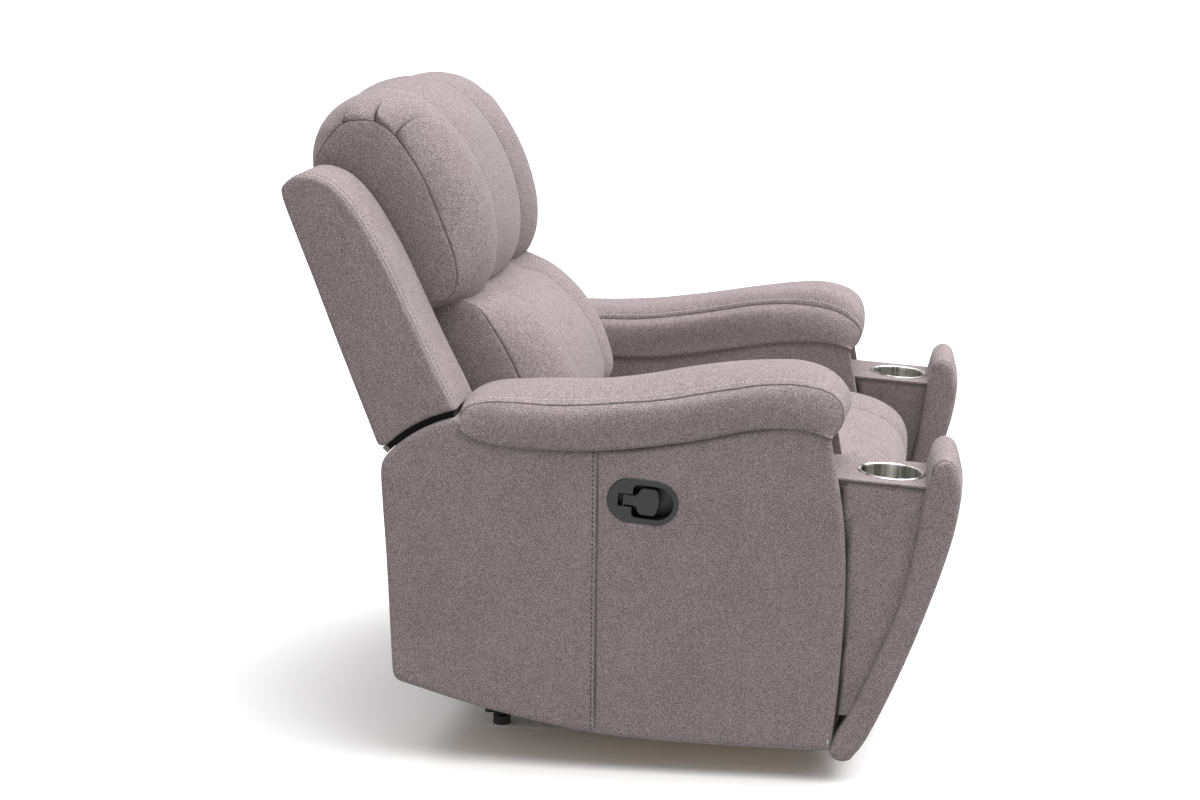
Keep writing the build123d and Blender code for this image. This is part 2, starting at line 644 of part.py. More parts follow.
for name, s in SIDES:
    with BuildPart() as console_panel:
        with BuildSketch(side(low(s, 281, 453))):
            with BuildLine():
                Spline(*PANEL_INNER)
                Polyline(PANEL_INNER[-1], (-347, 44), PANEL_OUTER[0])
                Spline(*PANEL_OUTER)
                Polyline(PANEL_OUTER[-1], (-497, 498), (-480, 498), PANEL_INNER[0])
            make_face()
        extrude(amount=172)
    console_panel.part.label = f"{name}_console_panel"
    pieces.append(console_panel)

    with BuildPart() as console_box:
        for a, b in ((296, 305), (429, 438)):
            with BuildSketch(side(low(s, a, b))):
                with BuildLine():
                    Polyline(on_lid(-466.5, LID_T), (-458.5, 394), (-437.5, 288), (-403.5, 195), (-362.5, 104), (-331, 104),
                             on_lid(-316, LID_T), close=True)
                make_face()
            extrude(amount=b - a)
        with BuildSketch(side(low(s, 305, 429))):
            with BuildLine():
                Polyline((-331, 104), (-340, 104), on_lid(-325, LID_T), on_lid(-316, LID_T), close=True)
            make_face()
            with BuildLine():
                Polyline((-340.5, 104), (-340.1, 112), (-364.5, 112), (-361.5, 104), close=True)
            make_face()
        extrude(amount=124)
        # hinge lugs on the bottom board
        for a, b in ((318, 336), (398, 416)):
            with BuildSketch(side(low(s, a, b))):
                with BuildLine():
                    Polyline((-322, 66), (-331, 104), (-352, 104), (-338, 66), close=True)
                make_face()
                with Locations((HINGE_Y, HINGE_Z)):
                    Circle(8.5)
                    Circle(HINGE_R + PIN_FIT, mode=Mode.SUBTRACT)
            extrude(amount=b - a)
    console_box.part.label = f"{name}_console_box"
    pieces.append(console_box)

    with BuildPart() as console_lid:
        with BuildSketch(side(low(s, 294, 440))):
            with BuildLine():
                Polyline(on_lid(-468.5), on_lid(-312), on_lid(-312, LID_T), on_lid(-466.5, LID_T), close=True)
            make_face()
        extrude(amount=146)
        with BuildSketch(lid_plane(s * CONSOLE_X)):
            Circle(CUP_R + 0.5)
        extrude(amount=LID_T + 2, both=True, mode=Mode.SUBTRACT)
    console_lid.part.label = f"{name}_console_lid"
    pieces.append(console_lid)

    with BuildPart() as cup_holder:
        with BuildSketch(lid_plane(s * CONSOLE_X)):
            Circle(50)
        extrude(amount=1.5)
        with BuildSketch(lid_plane(s * CONSOLE_X)):
            Circle(CUP_R)
        extrude(amount=-CUP_DEPTH)
        with BuildSketch(lid_plane(s * CONSOLE_X).offset(1.5)):
            Circle(CUP_R - 1.5)
        extrude(amount=-CUP_DEPTH, mode=Mode.SUBTRACT)
    cup_holder.part.label = f"{name}_cup_holder"
    pieces.append(cup_holder)

for piece in pieces:
    export_step(piece.part, f"parts/{piece.part.label}.step")
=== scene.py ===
import math

import bmesh
import bpy
import numpy as np
from mathutils import Matrix, Vector, noise
from mathutils.bvhtree import BVHTree
from mathutils.kdtree import KDTree

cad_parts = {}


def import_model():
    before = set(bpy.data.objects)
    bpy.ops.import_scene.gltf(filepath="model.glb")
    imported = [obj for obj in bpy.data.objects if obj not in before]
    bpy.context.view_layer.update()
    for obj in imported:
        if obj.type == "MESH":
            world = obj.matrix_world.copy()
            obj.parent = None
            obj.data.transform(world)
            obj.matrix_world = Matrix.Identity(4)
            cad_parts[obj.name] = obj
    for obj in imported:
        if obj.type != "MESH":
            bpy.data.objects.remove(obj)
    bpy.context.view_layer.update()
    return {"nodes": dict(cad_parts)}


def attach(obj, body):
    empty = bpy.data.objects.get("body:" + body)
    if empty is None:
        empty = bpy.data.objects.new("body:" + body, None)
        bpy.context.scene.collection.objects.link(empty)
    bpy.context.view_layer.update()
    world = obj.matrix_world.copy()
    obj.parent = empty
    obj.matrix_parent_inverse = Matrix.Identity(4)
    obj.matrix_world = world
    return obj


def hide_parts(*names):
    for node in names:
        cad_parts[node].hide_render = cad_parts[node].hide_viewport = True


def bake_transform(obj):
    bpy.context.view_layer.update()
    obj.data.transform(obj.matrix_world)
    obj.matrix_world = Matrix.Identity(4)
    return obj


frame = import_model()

NODES = frame["nodes"]
SCENE = bpy.context.scene
MM = 0.001
SHIFT_Y = 19.0            # side profiles are given about the chair's own datum
PIVOT_Y, PIVOT_Z = 175.0, 335.0
LEAN = math.radians(21.5)
SIDES = (("left", 1), ("right", -1))
CH = 125.0                # sewn channel lines of the seat and back


# ---------------------------------------------------------------- points and curves
def world(x, y, z):
    """Millimetres about the chair's datum to metres in the shared frame."""
    x, y, z = np.broadcast_arrays(np.asarray(x, float), np.asarray(y, float), np.asarray(z, float))
    return np.stack([x * MM, (y + SHIFT_Y) * MM, z * MM], -1)


def back(nb):
    """(n ahead of the pivot line, b up along the back) to (Y, Z), millimetres."""
    nb = np.asarray(nb, float)
    n, b = nb[..., 0], nb[..., 1]
    s, c = math.sin(LEAN), math.cos(LEAN)
    return np.stack([PIVOT_Y + b * s - n * c, PIVOT_Z + b * c + n * s], -1)


def resample(p, n=None, u=None):
    p = np.asarray(p, float)
    d = np.r_[0, np.cumsum(np.linalg.norm(np.diff(p, axis=0), axis=1))]
    if u is None:
        u = np.linspace(0, 1, n)
    return np.stack([np.interp(np.asarray(u) * d[-1], d, p[:, k]) for k in range(p.shape[1])], 1)


def length(p):
    return float(np.linalg.norm(np.diff(np.asarray(p, float), axis=0), axis=1).sum())


def smooth_line(pts, dense=24):
    """A centripetal Catmull-Rom line through the points."""
    p = np.asarray(pts, float)
    a = np.vstack([2 * p[0] - p[1], p, 2 * p[-1] - p[-2]])
    out = []
    for i in range(1, len(a) - 2):
        p0, p1, p2, p3 = a[i - 1:i + 3]
        t0 = 0.0
        t1 = t0 + max(np.linalg.norm(p1 - p0), 1e-9) ** 0.5
        t2 = t1 + max(np.linalg.norm(p2 - p1), 1e-9) ** 0.5
        t3 = t2 + max(np.linalg.norm(p3 - p2), 1e-9) ** 0.5
        t = np.linspace(t1, t2, dense, endpoint=False)[:, None]
        a1 = (t1 - t) / (t1 - t0) * p0 + (t - t0) / (t1 - t0) * p1
        a2 = (t2 - t) / (t2 - t1) * p1 + (t - t1) / (t2 - t1) * p2
        a3 = (t3 - t) / (t3 - t2) * p2 + (t - t2) / (t3 - t2) * p3
        b1 = (t2 - t) / (t2 - t0) * a1 + (t - t0) / (t2 - t0) * a2
        b2 = (t3 - t) / (t3 - t1) * a2 + (t - t1) / (t3 - t1) * a3
        out.append((t2 - t) / (t2 - t1) * b1 + (t - t1) / (t2 - t1) * b2)
    out.append(p[-1:])
    return np.vstack(out)


def curve(pts, n=None, u=None):
    return resample(smooth_line(pts), n, u)


def spaced(lo, hi, step, marks=(), fine=1.2, reach=7.0):
    """Positions from lo to hi about a step apart, closer round each mark, with a position on every mark."""
    x = np.linspace(lo, hi, 4001)
    rho = np.full_like(x, 1.0 / step)
    for m in marks:
        rho = np.maximum(rho, 1.0 / step + (1.0 / fine - 1.0 / step) * np.exp(-((x - m) / reach) ** 2))
    c = np.r_[0, np.cumsum((rho[1:] + rho[:-1]) / 2 * np.diff(x))]
    n = max(2, int(round(c[-1])))
    out = np.interp(np.linspace(0, c[-1], n + 1), c, x)
    for m in marks:
        if lo < m < hi:
            i = 1 + int(np.argmin(np.abs(out[1:-1] - m)))
            out[i] = m
    return out


def cubic(values, q, wrap=False):
    """Catmull-Rom along axis 0 of values at fractional indices q."""
    n = len(values)
    q = np.asarray(q, float)
    i = np.floor(q).astype(int)
    if not wrap:
        i = np.clip(i, 0, n - 2)
    f = (q - i).reshape((-1,) + (1,) * (values.ndim - 1))

    def v(k):
        return values[(i + k) % n] if wrap else values[np.clip(i + k, 0, n - 1)]
    return 0.5 * (2 * v(0) + (v(1) - v(-1)) * f + (2 * v(-1) - 5 * v(0) + 4 * v(1) - v(2)) * f ** 2
                  + (3 * v(0) - v(-1) - 3 * v(1) + v(2)) * f ** 3)


# ---------------------------------------------------------------- meshes
def quads(idx):
    return np.stack([idx[:-1, :-1].ravel(), idx[:-1, 1:].ravel(), idx[1:, 1:].ravel(), idx[1:, :-1].ravel()], 1).tolist()


def mesh_object(name, verts, faces, material=None, closed=True, merge=0.0):
    bm = bmesh.new()
    vs = [bm.verts.new(v) for v in np.asarray(verts, float).tolist()]
    for f in faces:
        if len(set(f)) > 2:
            try:
                bm.faces.new([vs[i] for i in f])
            except ValueError:
                pass
    if merge:
        bmesh.ops.remove_doubles(bm, verts=bm.verts, dist=merge)
    if closed:
        bmesh.ops.recalc_face_normals(bm, faces=bm.faces)
        if bm.calc_volume(signed=True) < 0:
            bmesh.ops.reverse_faces(bm, faces=bm.faces)
    for f in bm.faces:
        f.smooth = True
    me = bpy.data.meshes.new(name)
    bm.to_mesh(me)
    bm.free()
    o = bpy.data.objects.new(name, me)
    SCENE.collection.objects.link(o)
    if material is not None:
        me.materials.append(material)
    return o


def coords(o):
    co = np.zeros(len(o.data.vertices) * 3, np.float32)
    o.data.vertices.foreach_get("co", co)
    return co.reshape(-1, 3).astype(float)


def normals(o):
    o.data.update()
    n = np.zeros(len(o.data.vertices) * 3, np.float32)
    o.data.vertex_normals.foreach_get("vector", n)
    return n.reshape(-1, 3).astype(float)


def set_coords(o, co):
    o.data.vertices.foreach_set("co", np.asarray(co, np.float32).ravel())
    o.data.update()


def rough_noise(co, size, seed=0.0):
    """Smooth noise, about -1 to 1, of feature size in metres."""
    off = Vector((seed * 3.17, seed * 1.91, seed * 2.33))
    return np.array([noise.noise(Vector(p) / size + off) for p in co])


class Seam:
    """A sewn line, for grooves, puckers and stitches."""

    def __init__(self, pts, step=0.0008):
        self.pts = resample(pts, max(2, int(length(pts) / step)))
        self.length = length(self.pts)
        self.tree = KDTree(len(self.pts))
        for i, p in enumerate(self.pts):
            self.tree.insert(p, i)
        self.tree.balance()
        self.lo, self.hi = self.pts.min(0), self.pts.max(0)

    def near(self, co, reach):
        """Indices, distances and positions along the seam of the points within reach."""
        inside = np.where(np.all((co > self.lo - reach) & (co < self.hi + reach), axis=1))[0]
        ii, dd, ss = [], [], []
        step = self.length / (len(self.pts) - 1)
        for i in inside:
            _, k, d = self.tree.find(co[i])
            if d < reach:
                ii.append(i)
                dd.append(d)
                ss.append(k * step)
        return np.array(ii, int), np.array(dd), np.array(ss)


def carve(o, seams=(), lumps=((0.075, 0.0011),), extra=None, seed=1.0):
    """Sewn grooves with small puckers and soft lumps, moved along the surface normals.
    Each seam is (Seam, groove depth, groove width, valley depth, valley width, pucker height, shade), in metres;
    the shade is painted shade in the fold: kept on the mesh as "seam", it darkens the cloth colour there in place of
    the fold's shadow."""
    co, nr = coords(o), normals(o)
    g, shade = np.zeros(len(co)), np.zeros(len(co))
    for size, amp in lumps:
        g += amp * rough_noise(co, size, seed)
    for seam, depth, width, vdepth, vwidth, pucker, painted_shade in seams:
        i, d, s = seam.near(co, max(vwidth * 2.6, width * 3))
        if not len(i):
            continue
        g[i] -= depth * np.exp(-(d / width) ** 2) + vdepth * np.exp(-(d / vwidth) ** 2)
        # painted shade along the seam line, in place of the shadow in its fold
        shade[i] = np.maximum(shade[i], painted_shade * np.exp(-(d / 0.0015) ** 2))
        if pucker:
            ph = 2.1 * np.sin(s * 47.0 + seed) + 1.3 * np.sin(s * 21.0 + 2.0 * seed)
            g[i] += pucker * np.exp(-((d - vwidth * 0.55) / (vwidth * 0.6)) ** 2) * np.sin(s / 0.016 * 2 * math.pi / 2 + ph)
    if extra is not None:
        more, painted_shade = extra(co)
        g += more
        shade = np.maximum(shade, painted_shade)
    set_coords(o, co + nr * g[:, None])
    o.data.attributes.new("seam", "FLOAT", "POINT").data.foreach_set("value", shade.astype(np.float32))


def sew(name, o, path, material, body, pitch=7.0, long=4.6, wide=1.25, high=0.9, sink=0.15, start=0.0):
    """A row of thread stitches along a path, lying on the surface of o."""
    bm = bmesh.new()
    bm.from_mesh(o.data)
    tree = BVHTree.FromBMesh(bm)
    bm.free()
    total = length(path)
    n = int((total - start) / (pitch * MM))
    if n < 2:
        return None
    at = (start + (np.arange(n) + 0.5) * pitch * MM) / total
    h = 0.5 * long * MM / total
    a, m, b = (resample(path, u=np.clip(at + k * h, 0, 1)) for k in (-1, 0, 1))
    verts, faces = [], []
    ring = [(math.cos(k * math.pi / 3), math.sin(k * math.pi / 3)) for k in range(6)]
    for p0, p1, p2 in zip(a, m, b):
        hit = [tree.find_nearest(Vector(p)) for p in (p0, p1, p2)]
        if any(x[0] is None for x in hit):
            continue
        q0, q1, q2 = (x[0] for x in hit)
        up = hit[1][1]
        t = q2 - q0
        if t.length < 1e-6:
            continue
        t.normalize()
        side = up.cross(t).normalized()
        base = len(verts)
        for f, r, c in ((-0.9, 0.72, q0), (0.0, 1.0, q1), (0.9, 0.72, q2)):
            ctr = c + up * (high * MM * (0.5 * r - sink))
            for cx, sx in ring:
                verts.append(ctr + side * (0.5 * wide * MM * r * cx) + up * (0.5 * high * MM * r * sx))
        verts.append(q0 - t * (0.35 * wide * MM) - up * (0.45 * high * MM))
        verts.append(q2 + t * (0.35 * wide * MM) - up * (0.45 * high * MM))
        for k in range(6):
            j = (k + 1) % 6
            faces.append([base + k, base + j, base + 6 + j, base + 6 + k])
            faces.append([base + 6 + k, base + 6 + j, base + 12 + j, base + 12 + k])
            faces.append([base + 18, base + j, base + k])
            faces.append([base + 19, base + 12 + k, base + 12 + j])
    s = mesh_object(name, np.array(verts), faces, material)
    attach(s, body)
    return s


# ---------------------------------------------------------------- stuffed pieces
def assemble(face, rings):
    """Face grid, walls from its rim to a foot loop, and strips that close the foot."""
    r_n, c_n = face.shape[:2]
    fi = np.arange(r_n * c_n).reshape(r_n, c_n)
    rim = np.r_[fi[0, :], fi[1:, -1], fi[-1, -2::-1], fi[-2:0:-1, 0]]
    p_n = len(rim)
    ri = r_n * c_n + np.arange(len(rings) * p_n).reshape(len(rings), p_n)
    loops = np.vstack([rim[None], ri])
    faces = quads(fi) + quads(np.hstack([loops, loops[:, :1]]))
    last = ri[-1]
    left = [last[(p_n - r) % p_n] for r in range(r_n)]
    right = [last[c_n - 1 + r] for r in range(r_n)]
    faces.append([int(i) for i in last[:c_n]] + [int(right[1]), int(left[1])])
    for r in range(1, r_n - 2):
        faces.append([int(left[r]), int(right[r]), int(right[r + 1]), int(left[r + 1])])
    faces.append([int(left[-2]), int(right[-2])] + [int(i) for i in last[c_n + r_n - 2:2 * c_n + r_n - 2]])
    return np.vstack([face.reshape(-1, 3), np.asarray(rings).reshape(-1, 3)]), faces, rim


def rim_of(face):
    return np.concatenate([face[0, :], face[1:, -1], face[-1, -2::-1], face[-2:0:-1, 0]])


def simulate(verts, faces, pins, cap, pressure=4.0, stiff=14.0):
    """Inflates the closed cloth with its sewn lines held, and gives back how far each point moved, up to the cap."""
    o = mesh_object("cloth_work", verts, faces)
    group = o.vertex_groups.new(name="pin")
    for w in sorted(set(np.round(pins, 3))):
        if w > 0:
            group.add([int(i) for i in np.where(np.round(pins, 3) == w)[0]], float(w), "REPLACE")
    m = o.modifiers.new("Cloth", "CLOTH")
    s = m.settings
    s.quality = 5
    s.mass = 0.2
    s.tension_stiffness = s.compression_stiffness = stiff
    s.shear_stiffness = 6.0
    s.bending_stiffness = 0.8
    s.use_pressure = True
    s.uniform_pressure_force = pressure
    s.effector_weights.gravity = 0.0
    s.vertex_group_mass = "pin"
    s.pin_stiffness = 1.0
    m.collision_settings.use_collision = False
    m.collision_settings.use_self_collision = False
    m.point_cache.frame_start, m.point_cache.frame_end = 1, 20
    for f in range(1, 21):
        SCENE.frame_set(f)
    ev = o.evaluated_get(bpy.context.evaluated_depsgraph_get())
    me = ev.to_mesh()
    co = np.zeros(len(me.vertices) * 3, np.float32)
    me.vertices.foreach_get("co", co)
    ev.to_mesh_clear()
    mesh = o.data
    bpy.data.objects.remove(o)
    bpy.data.meshes.remove(mesh)
    SCENE.frame_set(1)
    d = co.reshape(-1, 3).astype(float) - verts
    size = np.linalg.norm(d, axis=1)
    return d * (np.minimum(size, cap) / np.maximum(size, 1e-9))[:, None]


def blur(a, times, wrap=False):
    """Soft averaging over the first two axes, or round a loop along the second."""
    for _ in range(times):
        for ax in (0, 1):
            n = a.shape[ax]
            k = np.arange(n)
            lo, hi = (k - 1, k + 1) if not (wrap and ax == 1) else ((k - 1) % n, (k + 1) % n)
            a = (np.take(a, np.clip(lo, 0, n - 1), ax) + 2 * a + np.take(a, np.clip(hi, 0, n - 1), ax)) / 4
    return a


def cushion(name, face_at, ring_at, cols, rows, channels, ring_k, material, swell, wall_swell=0.006, coarse=(15.0, 15.0), mirror_of=None,
            crease=0.12):
    """A stuffed piece. face_at(u, x) gives the sewn cover's grid and ring_at(rim, u, x, k) its walls, in metres.
    cols are X positions in millimetres, rows positions 0..1 along the profile, channels the X of sewn lines."""
    face = face_at(rows, cols)
    rings = ring_at(rim_of(face), rows, cols, ring_k[1:])
    if mirror_of is None:
        edges = [cols[0], *[c for c in channels if cols[0] < c < cols[-1]], cols[-1]]
        ccols = np.concatenate([np.linspace(a, b, max(3, int(round((b - a) / coarse[0]))) + 1)[:-1] for a, b in zip(edges, edges[1:])] + [[edges[-1]]])
        prof = length(face[:, face.shape[1] // 2]) * 1000
        crow_n = max(8, int(prof / coarse[1]))
        crows = np.linspace(0, 1, crow_n)
        ck = np.linspace(0, 1, 6)
        cf = face_at(crows, ccols)
        cr = ring_at(rim_of(cf), crows, ccols, ck[1:])
        verts, faces, rim = assemble(cf, cr)
        nf = cf.shape[0] * cf.shape[1]
        pins = np.zeros(len(verts))
        pins[rim] = 1.0
        pins[nf + (len(ck) - 2) * len(rim):] = 1.0
        grid = np.arange(nf).reshape(cf.shape[:2])
        for c in channels:
            j = int(np.argmin(np.abs(ccols - c)))
            if abs(ccols[j] - c) < 0.1:
                pins[grid[:, j]] = 1.0
        d = simulate(verts, faces, pins, 0.026)
        df = d[:nf].reshape(cf.shape)
        soft = blur(df, 3)
        df = soft + crease * (df - soft)
        ri, ci = np.arange(cf.shape[0]), np.arange(cf.shape[1])
        df *= (np.clip(np.minimum(ri, ri[::-1]) / 2.0, 0, 1)[:, None] * np.clip(np.minimum(ci, ci[::-1]) / 2.0, 0, 1)[None, :])[..., None]
        gain = np.ones(cf.shape[1])
        for a, b in zip(edges, edges[1:]):
            inside = (ccols >= a - 0.01) & (ccols <= b + 0.01)
            want = swell if np.isscalar(swell) else (swell[0] if max(abs(a), abs(b)) > CH + 1 else swell[1])
            gain[inside] = want / max(np.percentile(np.linalg.norm(df[:, inside], axis=-1), 92), 1e-6)
        df *= blur(gain[None, :], 1)[0][None, :, None]
        d[:nf] = df.reshape(-1, 3)
        wall = blur(d[nf:].reshape(len(ck) - 1, len(rim), 3), 2, wrap=True)
        wall[-1] = 0
        wall *= wall_swell / max(np.percentile(np.linalg.norm(wall, axis=-1), 92), 1e-6)
        d[nf:] = wall.reshape(-1, 3)
        df = d[:nf].reshape(cf.shape)
        dr = np.vstack([np.zeros((1, len(rim), 3)), d[nf:].reshape(len(ck) - 1, len(rim), 3)])
        cushion.made[name] = (df, dr, ccols, crow_n, len(ck))
    df, dr, ccols, crow_n, ck_n = cushion.made[mirror_of or name]
    qc = np.interp(cols, ccols, np.arange(len(ccols)))
    qr = np.asarray(rows) * (crow_n - 1)
    up = cubic(cubic(df, qr).transpose(1, 0, 2), qc).transpose(1, 0, 2)
    nc, nr_ = len(ccols), crow_n
    loop = np.r_[qc, (nc - 1) + qr[1:], (nc + nr_ - 2) + (nc - 1 - qc[-2::-1]), (2 * nc + nr_ - 3) + (nr_ - 1 - qr[-2:0:-1])]
    wall = cubic(cubic(dr, np.asarray(ring_k[1:]) * (ck_n - 1)).transpose(1, 0, 2), loop, wrap=True).transpose(1, 0, 2)
    verts, faces, rim = assemble(face + up, rings + wall)
    if mirror_of is not None:
        verts = verts * np.array([-1.0, 1.0, 1.0])
    o = mesh_object(name, verts, faces, material)
    o["grid"] = [len(rows), len(cols)]
    return o


cushion.made = {}


def grid_of(o):
    r, c = o["grid"]
    return coords(o)[:r * c].reshape(r, c, 3)


# ---------------------------------------------------------------- board-and-foam slabs
def coons(bottom, top, left, right, u, v):
    """Points between four edges: bottom and top run with u, left and right with v."""
    b, t = resample(bottom, u=u), resample(top, u=u)
    l, r = resample(left, u=v), resample(right, u=v)
    uu, vv = np.asarray(u)[None, :, None], np.asarray(v)[:, None, None]
    ruled = (1 - vv) * b[None] + vv * t[None] + (1 - uu) * l[:, None] + uu * r[:, None]
    corner = (1 - uu) * (1 - vv) * b[0] + uu * (1 - vv) * b[-1] + (1 - uu) * vv * t[0] + uu * vv * t[-1]
    return ruled - corner


def edge_distance(p, loop):
    """Distance from points to a closed outline, both in the side plane."""
    a, b = loop, np.roll(loop, -1, 0)
    best = np.full(len(p), 1e9)
    for k in range(0, len(a), 64):
        aa, bb = a[k:k + 64], b[k:k + 64]
        ab = bb - aa
        t = np.clip(((p[:, None] - aa[None]) * ab[None]).sum(-1) / np.maximum((ab ** 2).sum(-1), 1e-12)[None], 0, 1)
        best = np.minimum(best, np.linalg.norm(p[:, None] - (aa[None] + t[..., None] * ab[None]), axis=-1).min(1))
    return best


def slab(name, patches, loop, s, x_out, x_in, r_out, r_in, bulge_out, bulge_in, wall_x, material, soft=60.0):
    """A padded board: side-plane patches as two faces with rolled edges, joined by a wall round the outline."""
    bm = bmesh.new()

    def cap(x, radius, bulge, toward):
        made = []
        for g in patches:
            flat = g.reshape(-1, 2)
            d = edge_distance(flat, loop)
            k = np.clip(d / max(radius, 1e-6), 0, 1)
            drop = radius * (1 - np.sqrt(np.clip(1 - (1 - k) ** 2, 0, 1)))
            puff = bulge * (1 - np.exp(-(d / soft) ** 1.4))
            xs = x + toward * (puff - drop)
            vs = [bm.verts.new(p) for p in world(s * xs, flat[:, 0], flat[:, 1]).tolist()]
            idx = np.arange(len(vs)).reshape(g.shape[:2])
            for f in quads(idx):
                if len({tuple(np.round(flat[i], 4)) for i in f}) >= 3:
                    try:
                        made.append(bm.faces.new([vs[i] for i in f]))
                    except ValueError:
                        pass
        vs = list({v for f in made for v in f.verts})
        bmesh.ops.remove_doubles(bm, verts=vs, dist=2e-5)

    cap(x_out, r_out, bulge_out, 1.0)
    rim = [e for e in bm.edges if e.is_boundary]
    for x in (*wall_x, x_in + r_in):
        ex = bmesh.ops.extrude_edge_only(bm, edges=rim)
        new = [g for g in ex["geom"] if isinstance(g, bmesh.types.BMVert)]
        for v in new:
            v.co.x = s * x * MM
        rim = [g for g in ex["geom"] if isinstance(g, bmesh.types.BMEdge) and g.is_boundary]
    last = list({v for e in rim for v in e.verts})
    before = set(bm.verts)
    cap(x_in, r_in, bulge_in, -1.0)
    edge = [v for v in bm.verts if v not in before and any(e.is_boundary for e in v.link_edges)]
    tree = KDTree(len(edge))
    for i, v in enumerate(edge):
        tree.insert((0.0, v.co.y, v.co.z), i)
    tree.balance()
    for v in last:
        _, i, gap = tree.find((0.0, v.co.y, v.co.z))
        if gap < 1e-4:
            v.co = edge[i].co
    bmesh.ops.remove_doubles(bm, verts=bm.verts, dist=2e-5)
    bmesh.ops.dissolve_degenerate(bm, edges=bm.edges, dist=1e-6)
    bmesh.ops.recalc_face_normals(bm, faces=bm.faces)
    for f in bm.faces:
        f.smooth = True
    me = bpy.data.meshes.new(name)
    bm.to_mesh(me)
    bm.free()
    o = bpy.data.objects.new(name, me)
    SCENE.collection.objects.link(o)
    me.materials.append(material)
    return o


def edge_u(total, step, r, marks0=True, marks1=True):
    """Positions 0..1 along a length with rows close together at the rolled ends."""
    ends = [r * (1 - math.cos(a)) for a in np.linspace(0, math.pi / 2, 6)]
    lo = ends if marks0 else [0.0]
    hi = [total - e for e in reversed(ends)] if marks1 else [total]
    n = max(2, int((hi[0] - lo[-1]) / step))
    mid = np.linspace(lo[-1], hi[0], n + 1)
    return np.unique(np.round(np.r_[lo, mid, hi], 5)) / total


# ---------------------------------------------------------------- materials
def material(name, rough=0.6, metal=0.0, sheen=0.0, spec=0.5):
    m = bpy.data.materials.new(name)
    m.use_nodes = True
    nt = m.node_tree
    b = nt.nodes["Principled BSDF"]
    b.inputs["Roughness"].default_value = rough
    b.inputs["Metallic"].default_value = metal
    b.inputs["Specular IOR Level"].default_value = spec
    if sheen:
        b.inputs["Sheen Weight"].default_value = sheen
        b.inputs["Sheen Roughness"].default_value = 0.45
        b.inputs["Sheen Tint"].default_value = (0.93, 0.95, 0.98, 1.0)
    return m, nt, b


def node(nt, kind, **values):
    n = nt.nodes.new(kind)
    for k, v in values.items():
        if k in n.inputs:
            n.inputs[k].default_value = v
        else:
            setattr(n, k, v)
    return n


def math_node(nt, op, a, b):
    n = nt.nodes.new("ShaderNodeMath")
    n.operation = op
    for i, v in enumerate((a, b)):
        if isinstance(v, (int, float)):
            n.inputs[i].default_value = v
        else:
            nt.links.new(v, n.inputs[i])
    return n.outputs[0]


def ramp(nt, fac, stops):
    n = nt.nodes.new("ShaderNodeValToRGB")
    e = n.color_ramp.elements
    while len(e) < len(stops):
        e.new(0.5)
    for k, (p, c) in zip(e, stops):
        k.position = p
        k.color = (*c, 1.0)
    nt.links.new(fac, n.inputs[0])
    return n.outputs[0]


def srgb(r, g, b):
    return tuple((c / 255 / 12.92) if c / 255 <= 0.04045 else ((c / 255 + 0.055) / 1.055) ** 2.4 for c in (r, g, b))


def textures(nt, *specs):
    """Noise factors on the object's own coordinates: (scale, detail, stretch) each."""
    tc = node(nt, "ShaderNodeTexCoord")
    out = []
    for scale, detail, stretch in specs:
        mp = node(nt, "ShaderNodeMapping", Scale=stretch)
        if stretch == (1, 1, 1):
            mp.inputs["Rotation"].default_value = (0.61, 0.43, 0.92)
        nt.links.new(tc.outputs["Object"], mp.inputs["Vector"])
        n = node(nt, "ShaderNodeTexNoise", Scale=scale, Detail=detail, Roughness=0.55)
        nt.links.new(mp.outputs[0], n.inputs["Vector"])
        out.append(n.outputs["Fac"])
    return tc, out


def bump(nt, b, height, strength, distance):
    n = node(nt, "ShaderNodeBump", Strength=strength, Distance=distance)
    nt.links.new(height, n.inputs["Height"])
    nt.links.new(n.outputs[0], b.inputs["Normal"])


